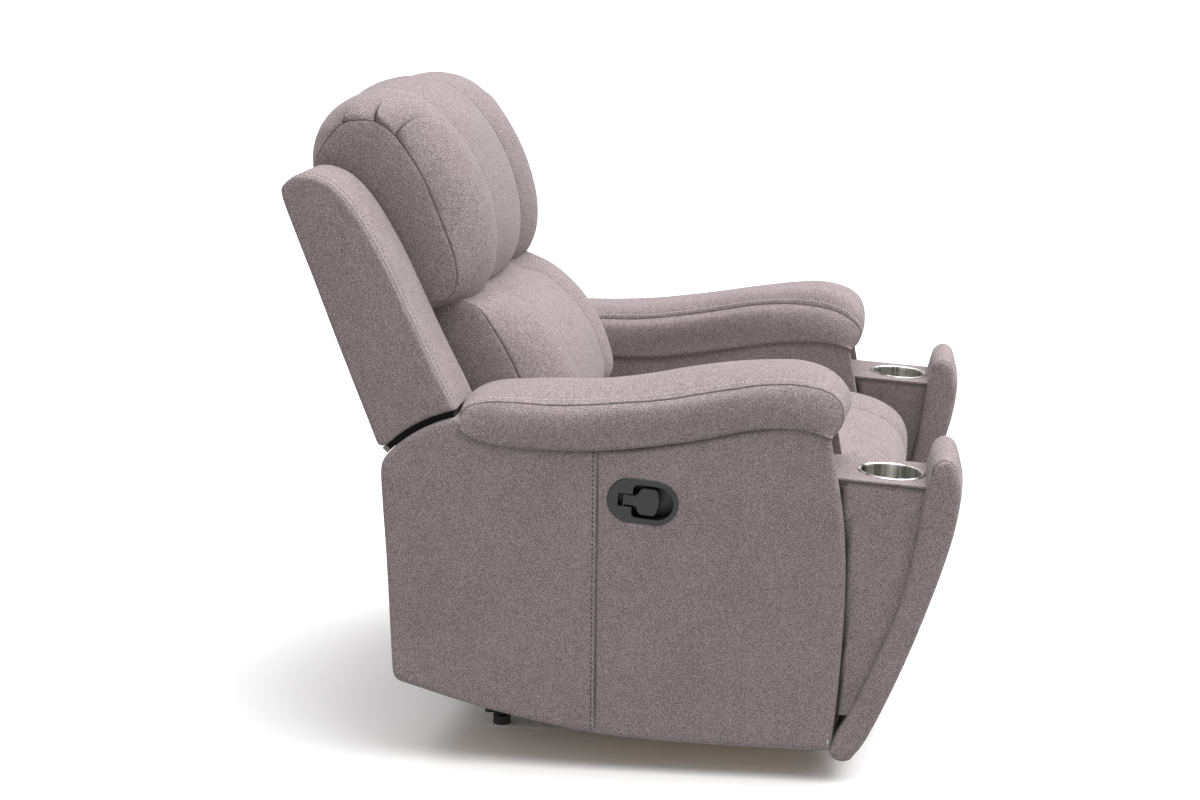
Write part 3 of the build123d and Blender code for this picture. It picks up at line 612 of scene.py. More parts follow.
def fabric(name, dark, mid, light, pitch=2.5, weave=0.08):
    """Diagonal twill of mixed yarns: weave, flecks, nap and slow changes of tone, on the object's own coordinates, with
    painted shade from the mesh's "seam" value darkening it in seams' folds, pleat creases and on the console boxes.
    """
    m, nt, b = material(name, rough=0.92, sheen=0.12, spec=0.14)
    tc, (fleck, nap, slow) = textures(nt, (820.0, 1.0, (1, 1, 1)), (60.0, 3.0, (1, 1, 1)), (9.0, 2.0, (1, 1, 1)))
    waves = []
    for direction in ((1.0, 1.0, 1.0), (1.0, -1.0, 0.35)):
        mp = node(nt, "ShaderNodeMapping", Scale=direction)
        nt.links.new(tc.outputs["Object"], mp.inputs["Vector"])
        w = node(nt, "ShaderNodeTexWave", Scale=2 * math.pi / (10 * pitch * 1.414 * MM), Distortion=1.1, Detail=1.0)
        w.inputs["Detail Scale"].default_value = 1.6
        w.wave_type, w.bands_direction, w.wave_profile = "BANDS", "DIAGONAL", "SIN"
        nt.links.new(mp.outputs[0], w.inputs["Vector"])
        waves.append(w.outputs["Fac"])
    twill = math_node(nt, "ADD", math_node(nt, "MULTIPLY", waves[0], 0.62), math_node(nt, "MULTIPLY", waves[1], 0.38))
    f = math_node(nt, "MULTIPLY", twill, weave)
    f = math_node(nt, "ADD", f, math_node(nt, "MULTIPLY", fleck, 1.60))
    f = math_node(nt, "ADD", f, math_node(nt, "MULTIPLY", nap, 0.13))
    f = math_node(nt, "ADD", f, math_node(nt, "MULTIPLY", slow, 0.10))
    f = math_node(nt, "ADD", f, -(weave + 1.83) / 2 + 0.5)
    col = ramp(nt, f, ((0.22, dark), (0.50, mid), (0.80, light)))
    # painted shade: the mesh's "seam" value mixes the colour towards a darkened copy of the cloth's dark tone
    seam = node(nt, "ShaderNodeAttribute", attribute_name="seam")
    mix = node(nt, "ShaderNodeMix", data_type="RGBA")
    nt.links.new(seam.outputs["Fac"], mix.inputs[0])
    nt.links.new(col, mix.inputs[6])
    mix.inputs[7].default_value = (*[0.22 * c for c in dark], 1.0)
    nt.links.new(mix.outputs[2], b.inputs["Base Color"])
    h = math_node(nt, "ADD", math_node(nt, "MULTIPLY", twill, 0.15), math_node(nt, "MULTIPLY", fleck, 0.8))
    bump(nt, b, h, 0.18, 0.0006)
    return m


def plastic(name, base, edge, rough=0.5, grain=900.0, strength=0.35):
    m, nt, b = material(name, rough=rough, spec=0.45)
    tc, (fine, slow) = textures(nt, (grain, 2.0, (1, 1, 1)), (40.0, 2.0, (1, 1, 1)))
    f = math_node(nt, "ADD", math_node(nt, "MULTIPLY", fine, 0.75), math_node(nt, "MULTIPLY", slow, 0.25))
    nt.links.new(ramp(nt, f, ((0.36, base), (0.66, edge))), b.inputs["Base Color"])
    nt.links.new(math_node(nt, "ADD", math_node(nt, "MULTIPLY", slow, 0.25), rough - 0.12), b.inputs["Roughness"])
    bump(nt, b, fine, strength, 0.0005)
    return m


def metal(name, dark, light, rough, stretch=(1, 1, 1), scale=180.0):
    m, nt, b = material(name, rough=rough, metal=1.0)
    tc, (line, slow) = textures(nt, (scale, 3.0, stretch), (14.0, 2.0, (1, 1, 1)))
    f = math_node(nt, "ADD", math_node(nt, "MULTIPLY", line, 0.75), math_node(nt, "MULTIPLY", slow, 0.25))
    nt.links.new(ramp(nt, f, ((0.37, dark), (0.58, light))), b.inputs["Base Color"])
    nt.links.new(math_node(nt, "ADD", math_node(nt, "MULTIPLY", line, 0.22), rough - 0.1), b.inputs["Roughness"])
    bump(nt, b, line, 0.08, 0.0004)
    return m


def painted_steel(name):
    m, nt, b = material(name, rough=0.45, spec=0.5)
    tc, (peel, slow) = textures(nt, (260.0, 2.0, (1, 1, 1)), (22.0, 3.0, (1, 1, 1)))
    nt.links.new(ramp(nt, slow, ((0.3, srgb(20, 20, 22)), (0.7, srgb(36, 36, 39)))), b.inputs["Base Color"])
    nt.links.new(math_node(nt, "ADD", math_node(nt, "MULTIPLY", slow, 0.3), 0.28), b.inputs["Roughness"])
    bump(nt, b, peel, 0.12, 0.0006)
    return m


def timber(name):
    m, nt, b = material(name, rough=0.62, spec=0.3)
    tc, (grain, ring) = textures(nt, (26.0, 5.0, (1.0, 1.0, 14.0)), (5.0, 3.0, (1.0, 1.0, 5.0)))
    f = math_node(nt, "ADD", math_node(nt, "MULTIPLY", grain, 0.55), math_node(nt, "MULTIPLY", ring, 0.45))
    nt.links.new(ramp(nt, f, ((0.30, srgb(104, 88, 70)), (0.52, srgb(134, 116, 95)), (0.75, srgb(152, 135, 113)))), b.inputs["Base Color"])
    bump(nt, b, grain, 0.18, 0.0008)
    return m


FABRIC = fabric("chair_fabric", srgb(94, 83, 85), srgb(139, 127, 128), srgb(184, 172, 173))
THREAD_LIGHT = fabric("thread_light", srgb(186, 178, 179), srgb(206, 199, 200), srgb(220, 214, 215), pitch=0.9)
THREAD_DARK = fabric("thread_dark", srgb(48, 42, 42), srgb(66, 59, 58), srgb(84, 76, 75), pitch=0.9)
THREAD_SOFT = fabric("thread_soft", srgb(92, 82, 83), srgb(114, 103, 104), srgb(134, 123, 124), pitch=0.9)
LINING = fabric("black_lining", srgb(9, 9, 10), srgb(17, 16, 17), srgb(27, 26, 27), pitch=1.6)
BLACK_PLASTIC = plastic("black_plastic", srgb(8, 8, 9), srgb(38, 39, 42), rough=0.42, grain=520.0)
GLIDE_PLASTIC = plastic("glide_plastic", srgb(18, 18, 19), srgb(42, 42, 44), rough=0.55, grain=500.0, strength=0.2)
BLACK_STEEL = painted_steel("black_steel")
ZINC = metal("zinc_steel", srgb(128, 130, 134), srgb(176, 178, 182), 0.42)
# brushed spun steel whose colour also carries painted vertical light and dark bands that stand in for reflections of
# the studio
STAINLESS_PAINTED_REFLECTION = metal("spun_stainless_painted_reflection", srgb(98, 94, 87), srgb(255, 254, 251), 0.31, stretch=(1.0, 1.0, 0.015), scale=80.0)
TIMBER = timber("frame_timber")


# ---------------------------------------------------------------- back cushions
def span_profile(c_pts, s_pts, half, power, outer, middle):
    """face_at for a cover that runs between two side seams: profile s_pts at the seams, c_pts at the channel lines,
    and rounded channels between them. outer is (u, height) of the side channels along the profile, middle one height."""
    cc, ss = smooth_line(c_pts), smooth_line(s_pts)

    def at(u, x):
        u, x = np.asarray(u, float), np.asarray(x, float)
        c, s = resample(cc, u=u), resample(ss, u=u)
        t = resample(cc, u=np.clip(u + 0.012, 0, 1)) - resample(cc, u=np.clip(u - 0.012, 0, 1))
        t /= np.linalg.norm(t, axis=1)[:, None]
        out = np.stack([t[:, 1], -t[:, 0]], 1)
        far = np.clip((np.abs(x) - CH) / (half - CH), 0, 1)
        w = 1 - far ** power
        knots = np.array(outer, float)
        side = np.mean([np.interp(np.clip(u + q, 0, 1), knots[:, 0], knots[:, 1]) for q in (-0.04, -0.02, 0.0, 0.02, 0.04)], 0)
        rise = side[:, None] * (np.sin(math.pi * far) * (np.abs(x) > CH))[None]
        rise = rise + (middle * (1 - np.abs(2 * u - 1) ** 8))[:, None] * np.clip(1 - (x / CH) ** 2, 0, 1)[None]
        yz = s[:, None] + (c - s)[:, None] * w[None, :, None] + out[:, None] * rise[..., None]
        return world(x[None, :], yz[..., 0], yz[..., 1])
    return at


def walls(foot_row, foot_col, puff):
    """ring_at: straight walls from the rim to a foot loop, puffed outwards along X.
    foot_row(end, x) is the foot of the first or last row, foot_col(sign, u) that of a side."""
    def at(rim, u, x, k):
        u, x = np.asarray(u), np.asarray(x)
        foot = np.concatenate([foot_row(0, x), foot_col(1, u)[1:], foot_row(1, x)[-2::-1], foot_col(-1, u)[-2:0:-1]])
        k = np.asarray(k)[:, None, None]
        out = rim[None] * (1 - k) + foot[None] * k
        side = np.concatenate([np.zeros(len(x)), np.ones(len(u) - 1), np.zeros(len(x) - 1), -np.ones(len(u) - 2)])
        taper = np.concatenate([np.zeros(len(x)), (1 - np.abs(2 * u - 1) ** 6)[1:], np.zeros(len(x) - 1), (1 - np.abs(2 * u - 1) ** 6)[-2:0:-1]])
        out[..., 0] += (side[None] * taper[None] * puff * MM) * np.sin(math.pi * k[..., 0]) ** 0.8
        return out
    return at


def seam_columns(o, x_list, cols):
    g = grid_of(o)
    return [g[:, int(np.argmin(np.abs(np.asarray(cols) - x)))] for x in x_list]


RING_K = np.r_[0.0, 0.007, 0.015, 0.026, 0.042, 0.065, 0.095, 0.14, np.linspace(0.2, 1.0, 13)]

# head
HEAD_C = back([(-84, 604), (-84, 621), (-78, 646), (-54, 675.5), (-12, 694), (32, 692), (60, 678.5), (85.5, 655), (103.5, 620), (115.5, 580.5), (123.5, 537), (126, 494),
               (122, 451), (112, 415), (93, 377), (72, 352), (51, 345), (22, 350)])
HEAD_BULGE = ((0.0, 0.0), (0.24, 0.0), (0.34, 4.5), (0.42, 14.5), (0.5, 18.0), (0.85, 17.0), (1.0, 0.0))
HEAD_S = back([(-80, 604), (-64, 627), (-41, 647), (-3, 664), (19, 660), (45, 648), (56, 635), (66, 615), (74, 584), (81, 544), (82, 503), (82, 459), (81, 428),
               (78, 403), (70, 379), (56, 362), (22, 354)])
HEAD_X = 288.0


def head_foot_row(end, x):
    yz = back((-78.0, 603.0) if end == 0 else (-42.0, 366.0))
    return world(x * 0.985, yz[0], yz[1])


def head_foot_col(sign, u):
    n = np.interp(u, [0, 0.1, 0.25, 1], [-78.0, -76.0, -42.0, -42.0])
    b = np.interp(u, [0, 0.1, 0.25, 1], [603.0, 592.0, 560.0, 366.0])
    yz = back(np.stack([n, b], 1))
    return world(sign * HEAD_X * 0.985, yz[:, 0], yz[:, 1])


head_cols = spaced(-HEAD_X, HEAD_X, 6.0, (-HEAD_X, -CH, CH, HEAD_X), fine=0.9, reach=6.0)
head_rows = np.r_[np.linspace(0, 0.12, 22, endpoint=False), np.linspace(0.12, 0.46, 130, endpoint=False), np.linspace(0.46, 1, 62)]
head = cushion("head_cushion_cover", span_profile(HEAD_C, HEAD_S, HEAD_X, 4.6, HEAD_BULGE, 8.0), walls(head_foot_row, head_foot_col, 4.0),
               head_cols, head_rows, (-CH, CH), RING_K, FABRIC, (0.0025, 0.0030))
g = grid_of(head)
HEAD_LINE = {x: g[:, int(np.argmin(np.abs(head_cols - x)))].copy() for x in (-HEAD_X, -CH, CH, HEAD_X)}
# where along the side seam, height, reach, slant and its growth, softness of each tuck, and the darkness of the painted
# shade in its crease
PLEATS = ((0.206, 9.0, 26.0, 0.90, 0.000, 10.0, 1.0), (0.312, 11.0, 34.0, 0.14, 0.002, 10.0, 1.0), (0.392, 8.5, 60.0, 0.30, 0.0036, 13.0, 0.85))


def head_pleats(co):
    """Tucks in the cover where it is gathered to the side panel round the top corner, with painted shade: a dark line
    in each tuck's crease and a softer shade below its fold.
    """
    n = len(head_rows) * len(head_cols)
    out, painted_shade = np.zeros(len(co)), np.zeros(len(co))
    total = length(co[:n].reshape(len(head_rows), len(head_cols), 3)[:, 0]) * 1000
    s = np.asarray(head_rows)[:, None] * total
    d = HEAD_X - np.abs(np.asarray(head_cols))[None, :]
    h, line = np.zeros((len(head_rows), len(head_cols))), np.zeros((len(head_rows), len(head_cols)))
    for at, amp, reach, slant, more, soft, dark in PLEATS:
        t = s - (at * total + slant * d + more * d * d)
        fade = np.exp(-(d / reach) ** 2) * (1 - np.exp(-(d / 2.6) ** 2))
        rise = np.where(t > 0, np.exp(-t / soft), -0.45 * np.exp(np.minimum(t, 0) / 3.0))
        rise *= 1 - 0.6 * np.exp(-(t / 1.2) ** 2)
        h += amp * fade * rise
        # painted shade: a dark line in the crease and a softer shade below the fold, in place of their shadows
        line = np.maximum(line, dark * np.exp(-((t + 1.3) / 2.1) ** 2) * np.exp(-(d / (0.8 * reach)) ** 4))
        line = np.maximum(line, 0.24 * dark * np.exp(np.minimum(t, 0) / 9.0) * (t < 0) * np.exp(-((d - 10.0) / (0.7 * reach)) ** 2))
    for at, amp, w, reach in ((0.255, 3.0, 15.0, 26.0), (0.352, 2.6, 11.0, 30.0), (0.150, 2.2, 14.0, 24.0), (0.440, 1.4, 18.0, 40.0)):
        h += amp * np.exp(-((s - at * total) / w) ** 2) * np.exp(-((d - 15.0) / reach) ** 2) * (1 - np.exp(-(d / 4.0) ** 2))
    out[:n], painted_shade[:n] = h.ravel() * MM, line.ravel()
    return out, painted_shade


# the last value of each seam is the strength of the painted shade in its fold
carve(head, [(Seam(HEAD_LINE[-CH]), 0.0010, 0.0014, 0.0008, 0.010, 0.0003, 0.22), (Seam(HEAD_LINE[CH]), 0.0010, 0.0014, 0.0008, 0.010, 0.0003, 0.30),
             (Seam(HEAD_LINE[-HEAD_X]), 0.0022, 0.0014, 0.0010, 0.006, 0.0005, 0.62), (Seam(HEAD_LINE[HEAD_X]), 0.0022, 0.0014, 0.0010, 0.006, 0.0005, 0.62)],
      lumps=((0.12, 0.0012), (0.045, 0.0003)), extra=head_pleats, seed=1.3)
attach(head, "backrest")
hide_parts("head_cushion")

# lumbar
LUM_C = back([(48, 362), (77.5, 331), (110.5, 308), (137, 266), (153, 211), (156, 152), (146, 108), (120, 93), (70, 88)])
LUM_S = back([(47, 363), (65.6, 344), (78, 331.5), (88, 294), (93.7, 260), (97.7, 215), (97, 150), (90, 105), (60, 88)])
LUM_X = 262.0


def lum_foot_row(end, x):
    yz = back((-41.5, 361.0 if end == 0 else 92.0))
    return world(x * 0.985, yz[0], yz[1])


def lum_foot_col(sign, u):
    yz = back(np.stack([np.full_like(u, -41.5), 361.0 + (92.0 - 361.0) * u], 1))
    return world(sign * LUM_X * 0.985, yz[:, 0], yz[:, 1])


lum_cols = spaced(-LUM_X, LUM_X, 6.0, (-LUM_X, -CH, CH, LUM_X), fine=0.9, reach=6.0)
lum_rows = np.linspace(0, 1, 110)
lumbar = cushion("lumbar_cushion_cover", span_profile(LUM_C, LUM_S, LUM_X, 3.4, ((0.0, 0.0), (0.12, 8.0), (0.5, 10.0), (0.9, 8.0), (1.0, 0.0)), 4.0), walls(lum_foot_row, lum_foot_col, 4.0),
                 lum_cols, lum_rows, (-CH, CH), RING_K, FABRIC, (0.0025, 0.0025))
g = grid_of(lumbar)
LUM_LINE = {x: g[:, int(np.argmin(np.abs(lum_cols - x)))].copy() for x in (-LUM_X, -CH, CH, LUM_X)}
# the last value of each seam is the strength of the painted shade in its fold
carve(lumbar, [(Seam(LUM_LINE[-CH]), 0.0010, 0.0014, 0.0010, 0.010, 0.0003, 0.28), (Seam(LUM_LINE[CH]), 0.0010, 0.0014, 0.0010, 0.010, 0.0003, 0.28),
               (Seam(LUM_LINE[-LUM_X]), 0.0024, 0.0015, 0.0012, 0.007, 0.0004, 0.75), (Seam(LUM_LINE[LUM_X]), 0.0024, 0.0015, 0.0012, 0.007, 0.0004, 0.75)],
      lumps=((0.12, 0.0011), (0.045, 0.0003)), seed=2.7)
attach(lumbar, "backrest")
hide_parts("lumbar_cushion")

# seat
SEAT_C = [(95, 443), (0, 446), (-150, 449), (-290, 451), (-332, 447.5), (-367, 439.5), (-395, 427), (-414, 411), (-425, 392), (-430, 370), (-432, 352)]
SEAT_S = [(95, 428), (0, 430), (-150, 432), (-290, 434), (-330, 431), (-360, 425), (-385, 414), (-403, 400), (-414, 383), (-419, 366), (-421, 352)]
SEAT_X = 267.0


def seat_foot_row(end, x):
    return world(x * 0.99, 93.0 if end == 0 else -412.0, 351.0)


def seat_foot_col(sign, u):
    return world(sign * SEAT_X * 0.99, 93.0 + (-412.0 - 93.0) * u, 351.0)


seat_cols = spaced(-SEAT_X, SEAT_X, 6.0, (-SEAT_X, -CH, CH, SEAT_X), fine=0.9, reach=6.0)
seat_rows = np.linspace(0, 1, 112)
seat = cushion("seat_cushion_cover", span_profile(SEAT_C, SEAT_S, SEAT_X, 3.2, ((0.0, 0.0), (0.1, 9.0), (0.6, 12.0), (0.92, 10.0), (1.0, 0.0)), 8.0), walls(seat_foot_row, seat_foot_col, 1.5),
               seat_cols, seat_rows, (-CH, CH), RING_K, FABRIC, (0.0025, 0.0025), wall_swell=0.0025)
g = grid_of(seat)
SEAT_LINE = {x: g[:, int(np.argmin(np.abs(seat_cols - x)))].copy() for x in (-SEAT_X, -CH, CH, SEAT_X)}
# the last value of each seam is the strength of the painted shade in its fold
carve(seat, [(Seam(SEAT_LINE[-CH]), 0.0012, 0.0014, 0.0012, 0.010, 0.0003, 0.30), (Seam(SEAT_LINE[CH]), 0.0012, 0.0014, 0.0012, 0.010, 0.0003, 0.30),
             (Seam(SEAT_LINE[-SEAT_X]), 0.0020, 0.0015, 0.0012, 0.007, 0.0004, 0.70), (Seam(SEAT_LINE[SEAT_X]), 0.0020, 0.0015, 0.0012, 0.007, 0.0004, 0.70)],
      lumps=((0.13, 0.0011), (0.045, 0.0003)), seed=4.1)
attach(seat, "frame")
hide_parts("seat_cushion")

# footrest pad
FOOT_C = [(-392, 324), (-405, 322), (-415, 314), (-420.5, 300), (-421.5, 200), (-420.5, 98), (-415, 84), (-405, 76), (-392, 74)]
FOOT_S = [(-392, 319), (-404, 317), (-411, 309), (-414, 296), (-415, 200), (-414, 102), (-411, 89), (-404, 81), (-392, 79)]
FOOT_X = 264.0


def foot_foot_row(end, x):
    return world(x * 0.995, -390.3, 321.0 if end == 0 else 77.0)


def foot_foot_col(sign, u):
    return world(sign * FOOT_X * 0.995, -390.3, 321.0 + (77.0 - 321.0) * u)


foot_cols = spaced(-FOOT_X, FOOT_X, 8.0, (-FOOT_X, -CH, CH, FOOT_X), fine=0.9, reach=6.0)
foot_rows = np.linspace(0, 1, 64)
foot = cushion("footrest_pad_cover", span_profile(FOOT_C, FOOT_S, FOOT_X, 4.0, ((0.0, 0.0), (0.15, 4.0), (0.85, 4.0), (1.0, 0.0)), 4.5), walls(foot_foot_row, foot_foot_col, 1.0),
               foot_cols, foot_rows, (-CH, CH), RING_K, FABRIC, (0.0020, 0.0020), wall_swell=0.002)
g = grid_of(foot)
FOOT_LINE = {x: g[:, int(np.argmin(np.abs(foot_cols - x)))].copy() for x in (-FOOT_X, -CH, CH, FOOT_X)}
# the last value of each seam is the strength of the painted shade in its fold
carve(foot, [(Seam(FOOT_LINE[-CH]), 0.0012, 0.0014, 0.0012, 0.010, 0.0003, 0.30), (Seam(FOOT_LINE[CH]), 0.0012, 0.0014, 0.0012, 0.010, 0.0003, 0.30),
             (Seam(FOOT_LINE[-FOOT_X]), 0.0020, 0.0015, 0.0010, 0.006, 0.0003, 0.70), (Seam(FOOT_LINE[FOOT_X]), 0.0020, 0.0015, 0.0010, 0.006, 0.0003, 0.70)],
      lumps=((0.12, 0.0009), (0.045, 0.0003)), seed=5.6)
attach(foot, "footrest")
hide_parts("footrest_pad")

# ---------------------------------------------------------------- arm pads
PAD_T = [(215, 533), (221, 540), (221, 549), (209, 560), (181, 571.5), (115, 577.5), (26, 580.5), (-58, 591.5), (-117, 602.5), (-180, 611.5), (-242, 616.5), (-283, 615.5),
         (-317, 605), (-342, 585), (-354, 561), (-352, 545), (-341, 528)]
PAD_O = [(215, 529), (217, 534), (215.5, 540.5), (210, 549), (201, 556), (183.5, 560.7), (155.6, 563.3), (123.7, 562.5), (84.6, 560.3), (32.6, 562.4), (-21.4, 566.9), (-86.4, 574),
         (-166.4, 589), (-246.4, 601), (-294.4, 599), (-326.4, 590), (-342.4, 574), (-346, 555), (-340, 535), (-332, 527)]
PAD_I = [(212, 528), (213.5, 533), (211, 540), (204, 547), (183, 553), (121, 556), (41, 557), (-66, 570), (-171, 588), (-241, 590), (-309, 577), (-340, 556), (-349, 540), (-344, 522),
         (-336, 516)]
PAD_FO = [(213, 530), (213.5, 523), (207.5, 516.5), (190, 508), (165, 501.7), (137, 498), (101.7, 496), (66, 495.3), (31, 495.8), (-4, 497.8), (-47, 502.5), (-129, 516), (-210, 534), (-250, 538), (-290, 536), (-322, 528), (-330, 526)]
PAD_FI = [(211, 525), (210, 517), (194, 505), (101, 490), (3, 491), (-103, 506), (-208, 522), (-278, 525), (-324, 518), (-333, 514)]
PAD_XI, PAD_XO, PAD_XC = 294.0, 442.0, 326.0
PAD_SWELL = 2.5


def pad_face(u, x):
    t, o, i = (resample(smooth_line(p), u=u) for p in (PAD_T, PAD_O, PAD_I))
    x = np.asarray(x, float)
    f = (x - PAD_XI) / (PAD_XO - PAD_XI)
    w = np.where(x < PAD_XC, (x - PAD_XC) / (PAD_XC - PAD_XI), (x - PAD_XC) / (PAD_XO - PAD_XC))
    fc = (PAD_XC - PAD_XI) / (PAD_XO - PAD_XI)
    crown = t - (i + (o - i) * fc)
    ends = (1 - np.abs(2 * np.asarray(u) - 1) ** 10)[:, None]
    crown = crown - ends * PAD_SWELL * crown / np.maximum(np.linalg.norm(crown, axis=1), 8.0)[:, None] * 0.9
    yz = i[:, None] + (o - i)[:, None] * f[None, :, None] + crown[:, None] * (1 - np.abs(w) ** 2.5)[None, :, None]
    return world(x[None, :], yz[..., 0], yz[..., 1])


def pad_foot_row(end, x):
    a, b = (PAD_FI[0], PAD_FO[0]) if end == 0 else (PAD_FI[-1], PAD_FO[-1])
    w = (np.asarray(x, float) - PAD_XI) / (PAD_XO - PAD_XI)
    return world(278.0 + (456.0 - 278.0) * w, a[0] + (b[0] - a[0]) * w, a[1] + (b[1] - a[1]) * w)


def pad_foot_col(sign, u):
    p = resample(smooth_line(PAD_FO if sign > 0 else PAD_FI), u=u)
    return world(456.0 if sign > 0 else 278.0, p[:, 0], p[:, 1])


pad_cols = spaced(PAD_XI, PAD_XO, 6.0, (PAD_XI, PAD_XO), fine=0.9, reach=6.0)
pad_rows = np.linspace(0, 1, 176)
pads = {}
for name, s in SIDES:
    pad = cushion(f"{name}_arm_pad_cover", pad_face, walls(pad_foot_row, pad_foot_col, 10.0), pad_cols, pad_rows, (), RING_K, FABRIC,
                  PAD_SWELL * MM, wall_swell=0.0040, coarse=(12.0, 12.0), mirror_of=None if s > 0 else "left_arm_pad_cover")
    g = grid_of(pad)
    inner, outer = g[:, 0].copy(), g[:, -1].copy()
    # the last value of each seam is the strength of the painted shade in its fold
    carve(pad, [(Seam(inner), 0.0016, 0.0013, 0.0005, 0.006, 0.0003, 0.60), (Seam(outer), 0.0016, 0.0013, 0.0006, 0.006, 0.0003, 1.00)],
          lumps=((0.11, 0.0009), (0.045, 0.0003)), seed=6.4)
    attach(pad, "frame")
    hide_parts(f"{name}_arm_pad")
    g = grid_of(pad)
    near = {"outer": int(np.argmin(np.abs(pad_cols - (PAD_XO - 11.0)))), "inner": int(np.argmin(np.abs(pad_cols - (PAD_XI + 4.0))))}
    for which, j in near.items():
        sew(f"{name}_arm_pad_{which}_stitch", pad, g[6:-6, j], THREAD_LIGHT, "frame", pitch=6.0, long=3.7, wide=1.6, high=1.0)
    pads[name] = pad

# ---------------------------------------------------------------- arm bodies
ARM_BOTTOM = [(312, 126.9), (189, 92), (11, 59), (-144, 51), (-336, 50)]
ARM_FRONT = [(-336, 50), (-346, 147), (-353, 300), (-348, 405), (-331, 506)]
ARM_TOP = [(-326, 533), (-284, 542), (-227, 536.5), (-140, 518.5), (-54, 501.5), (49, 497.5), (152, 505), (190, 514), (206, 530), (214, 539)]


def shoulder(y):
    return np.stack([np.asarray(y, float), PIVOT_Z + np.sqrt(208.5 ** 2 - (np.asarray(y, float) - PIVOT_Y) ** 2)], -1)


arm_bottom = smooth_line(ARM_BOTTOM)
arm_front = np.vstack([smooth_line(ARM_FRONT), [(-326, 533)]])
arm_top = np.vstack([smooth_line(ARM_TOP), shoulder(np.linspace(222, 318, 40))])
arm_rear = smooth_line([shoulder(318.0), (328.5, 475), (334, 463), (335.2, 450), (334, 410), (330.5, 330), (326.8, 225), (324.5, 160), (323.8, 147),
                        (322.7, 139), (319.5, 132), (312, 126.9)])
ARM_LOOP = np.vstack([resample(arm_bottom, 160)[:-1], resample(arm_front, 120)[:-1], resample(arm_top, 180)[:-1], resample(arm_rear, 100)[:-1]])
SEAM_Y0, SEAM_Y1 = 15.0, 10.0


def cut(line, y):
    """Splits a line of falling or rising Y at a place."""
    line = np.asarray(line, float)
    if line[0, 0] < line[-1, 0]:
        line = line[::-1]
    k = int(np.searchsorted(-line[:, 0], -y))
    p = line[k - 1] + (line[k] - line[k - 1]) * (y - line[k - 1, 0]) / (line[k, 0] - line[k - 1, 0])
    return np.vstack([line[:k], p]), np.vstack([p, line[k:]])


bot_rear, bot_front = cut(arm_bottom, SEAM_Y0)
top_rear, top_front = cut(arm_top, SEAM_Y1)
seam_line = np.array([bot_rear[-1], top_rear[-1]])


def seam_u(total, step, r, at_end):
    base = edge_u(total, step, r, marks0=at_end, marks1=not at_end) * total
    fine = np.r_[0.8, 1.6, 2.6, 4.0, 5.5, 7.5, 10.0, 13.0]
    extra = total - fine if at_end else fine
    return np.unique(np.round(np.r_[base, extra], 4)) / total


arm_v = edge_u(460.0, 6.5, 9.0)
ARM_PATCHES = [
    coons(bot_rear, top_rear, arm_rear[::-1], seam_line, seam_u(length(bot_rear), 6.5, 9.0, True), arm_v),
    coons(bot_front, top_front, seam_line, arm_front, seam_u(length(bot_front), 6.5, 9.0, False), arm_v),
]
plain_v = edge_u(460.0, 9.0, 5.0)
full_bottom, full_top = arm_bottom, arm_top[::-1]
INNER_PATCHES = [coons(full_bottom, full_top, arm_rear[::-1], arm_front, edge_u(length(full_bottom), 9.0, 5.0), plain_v)]

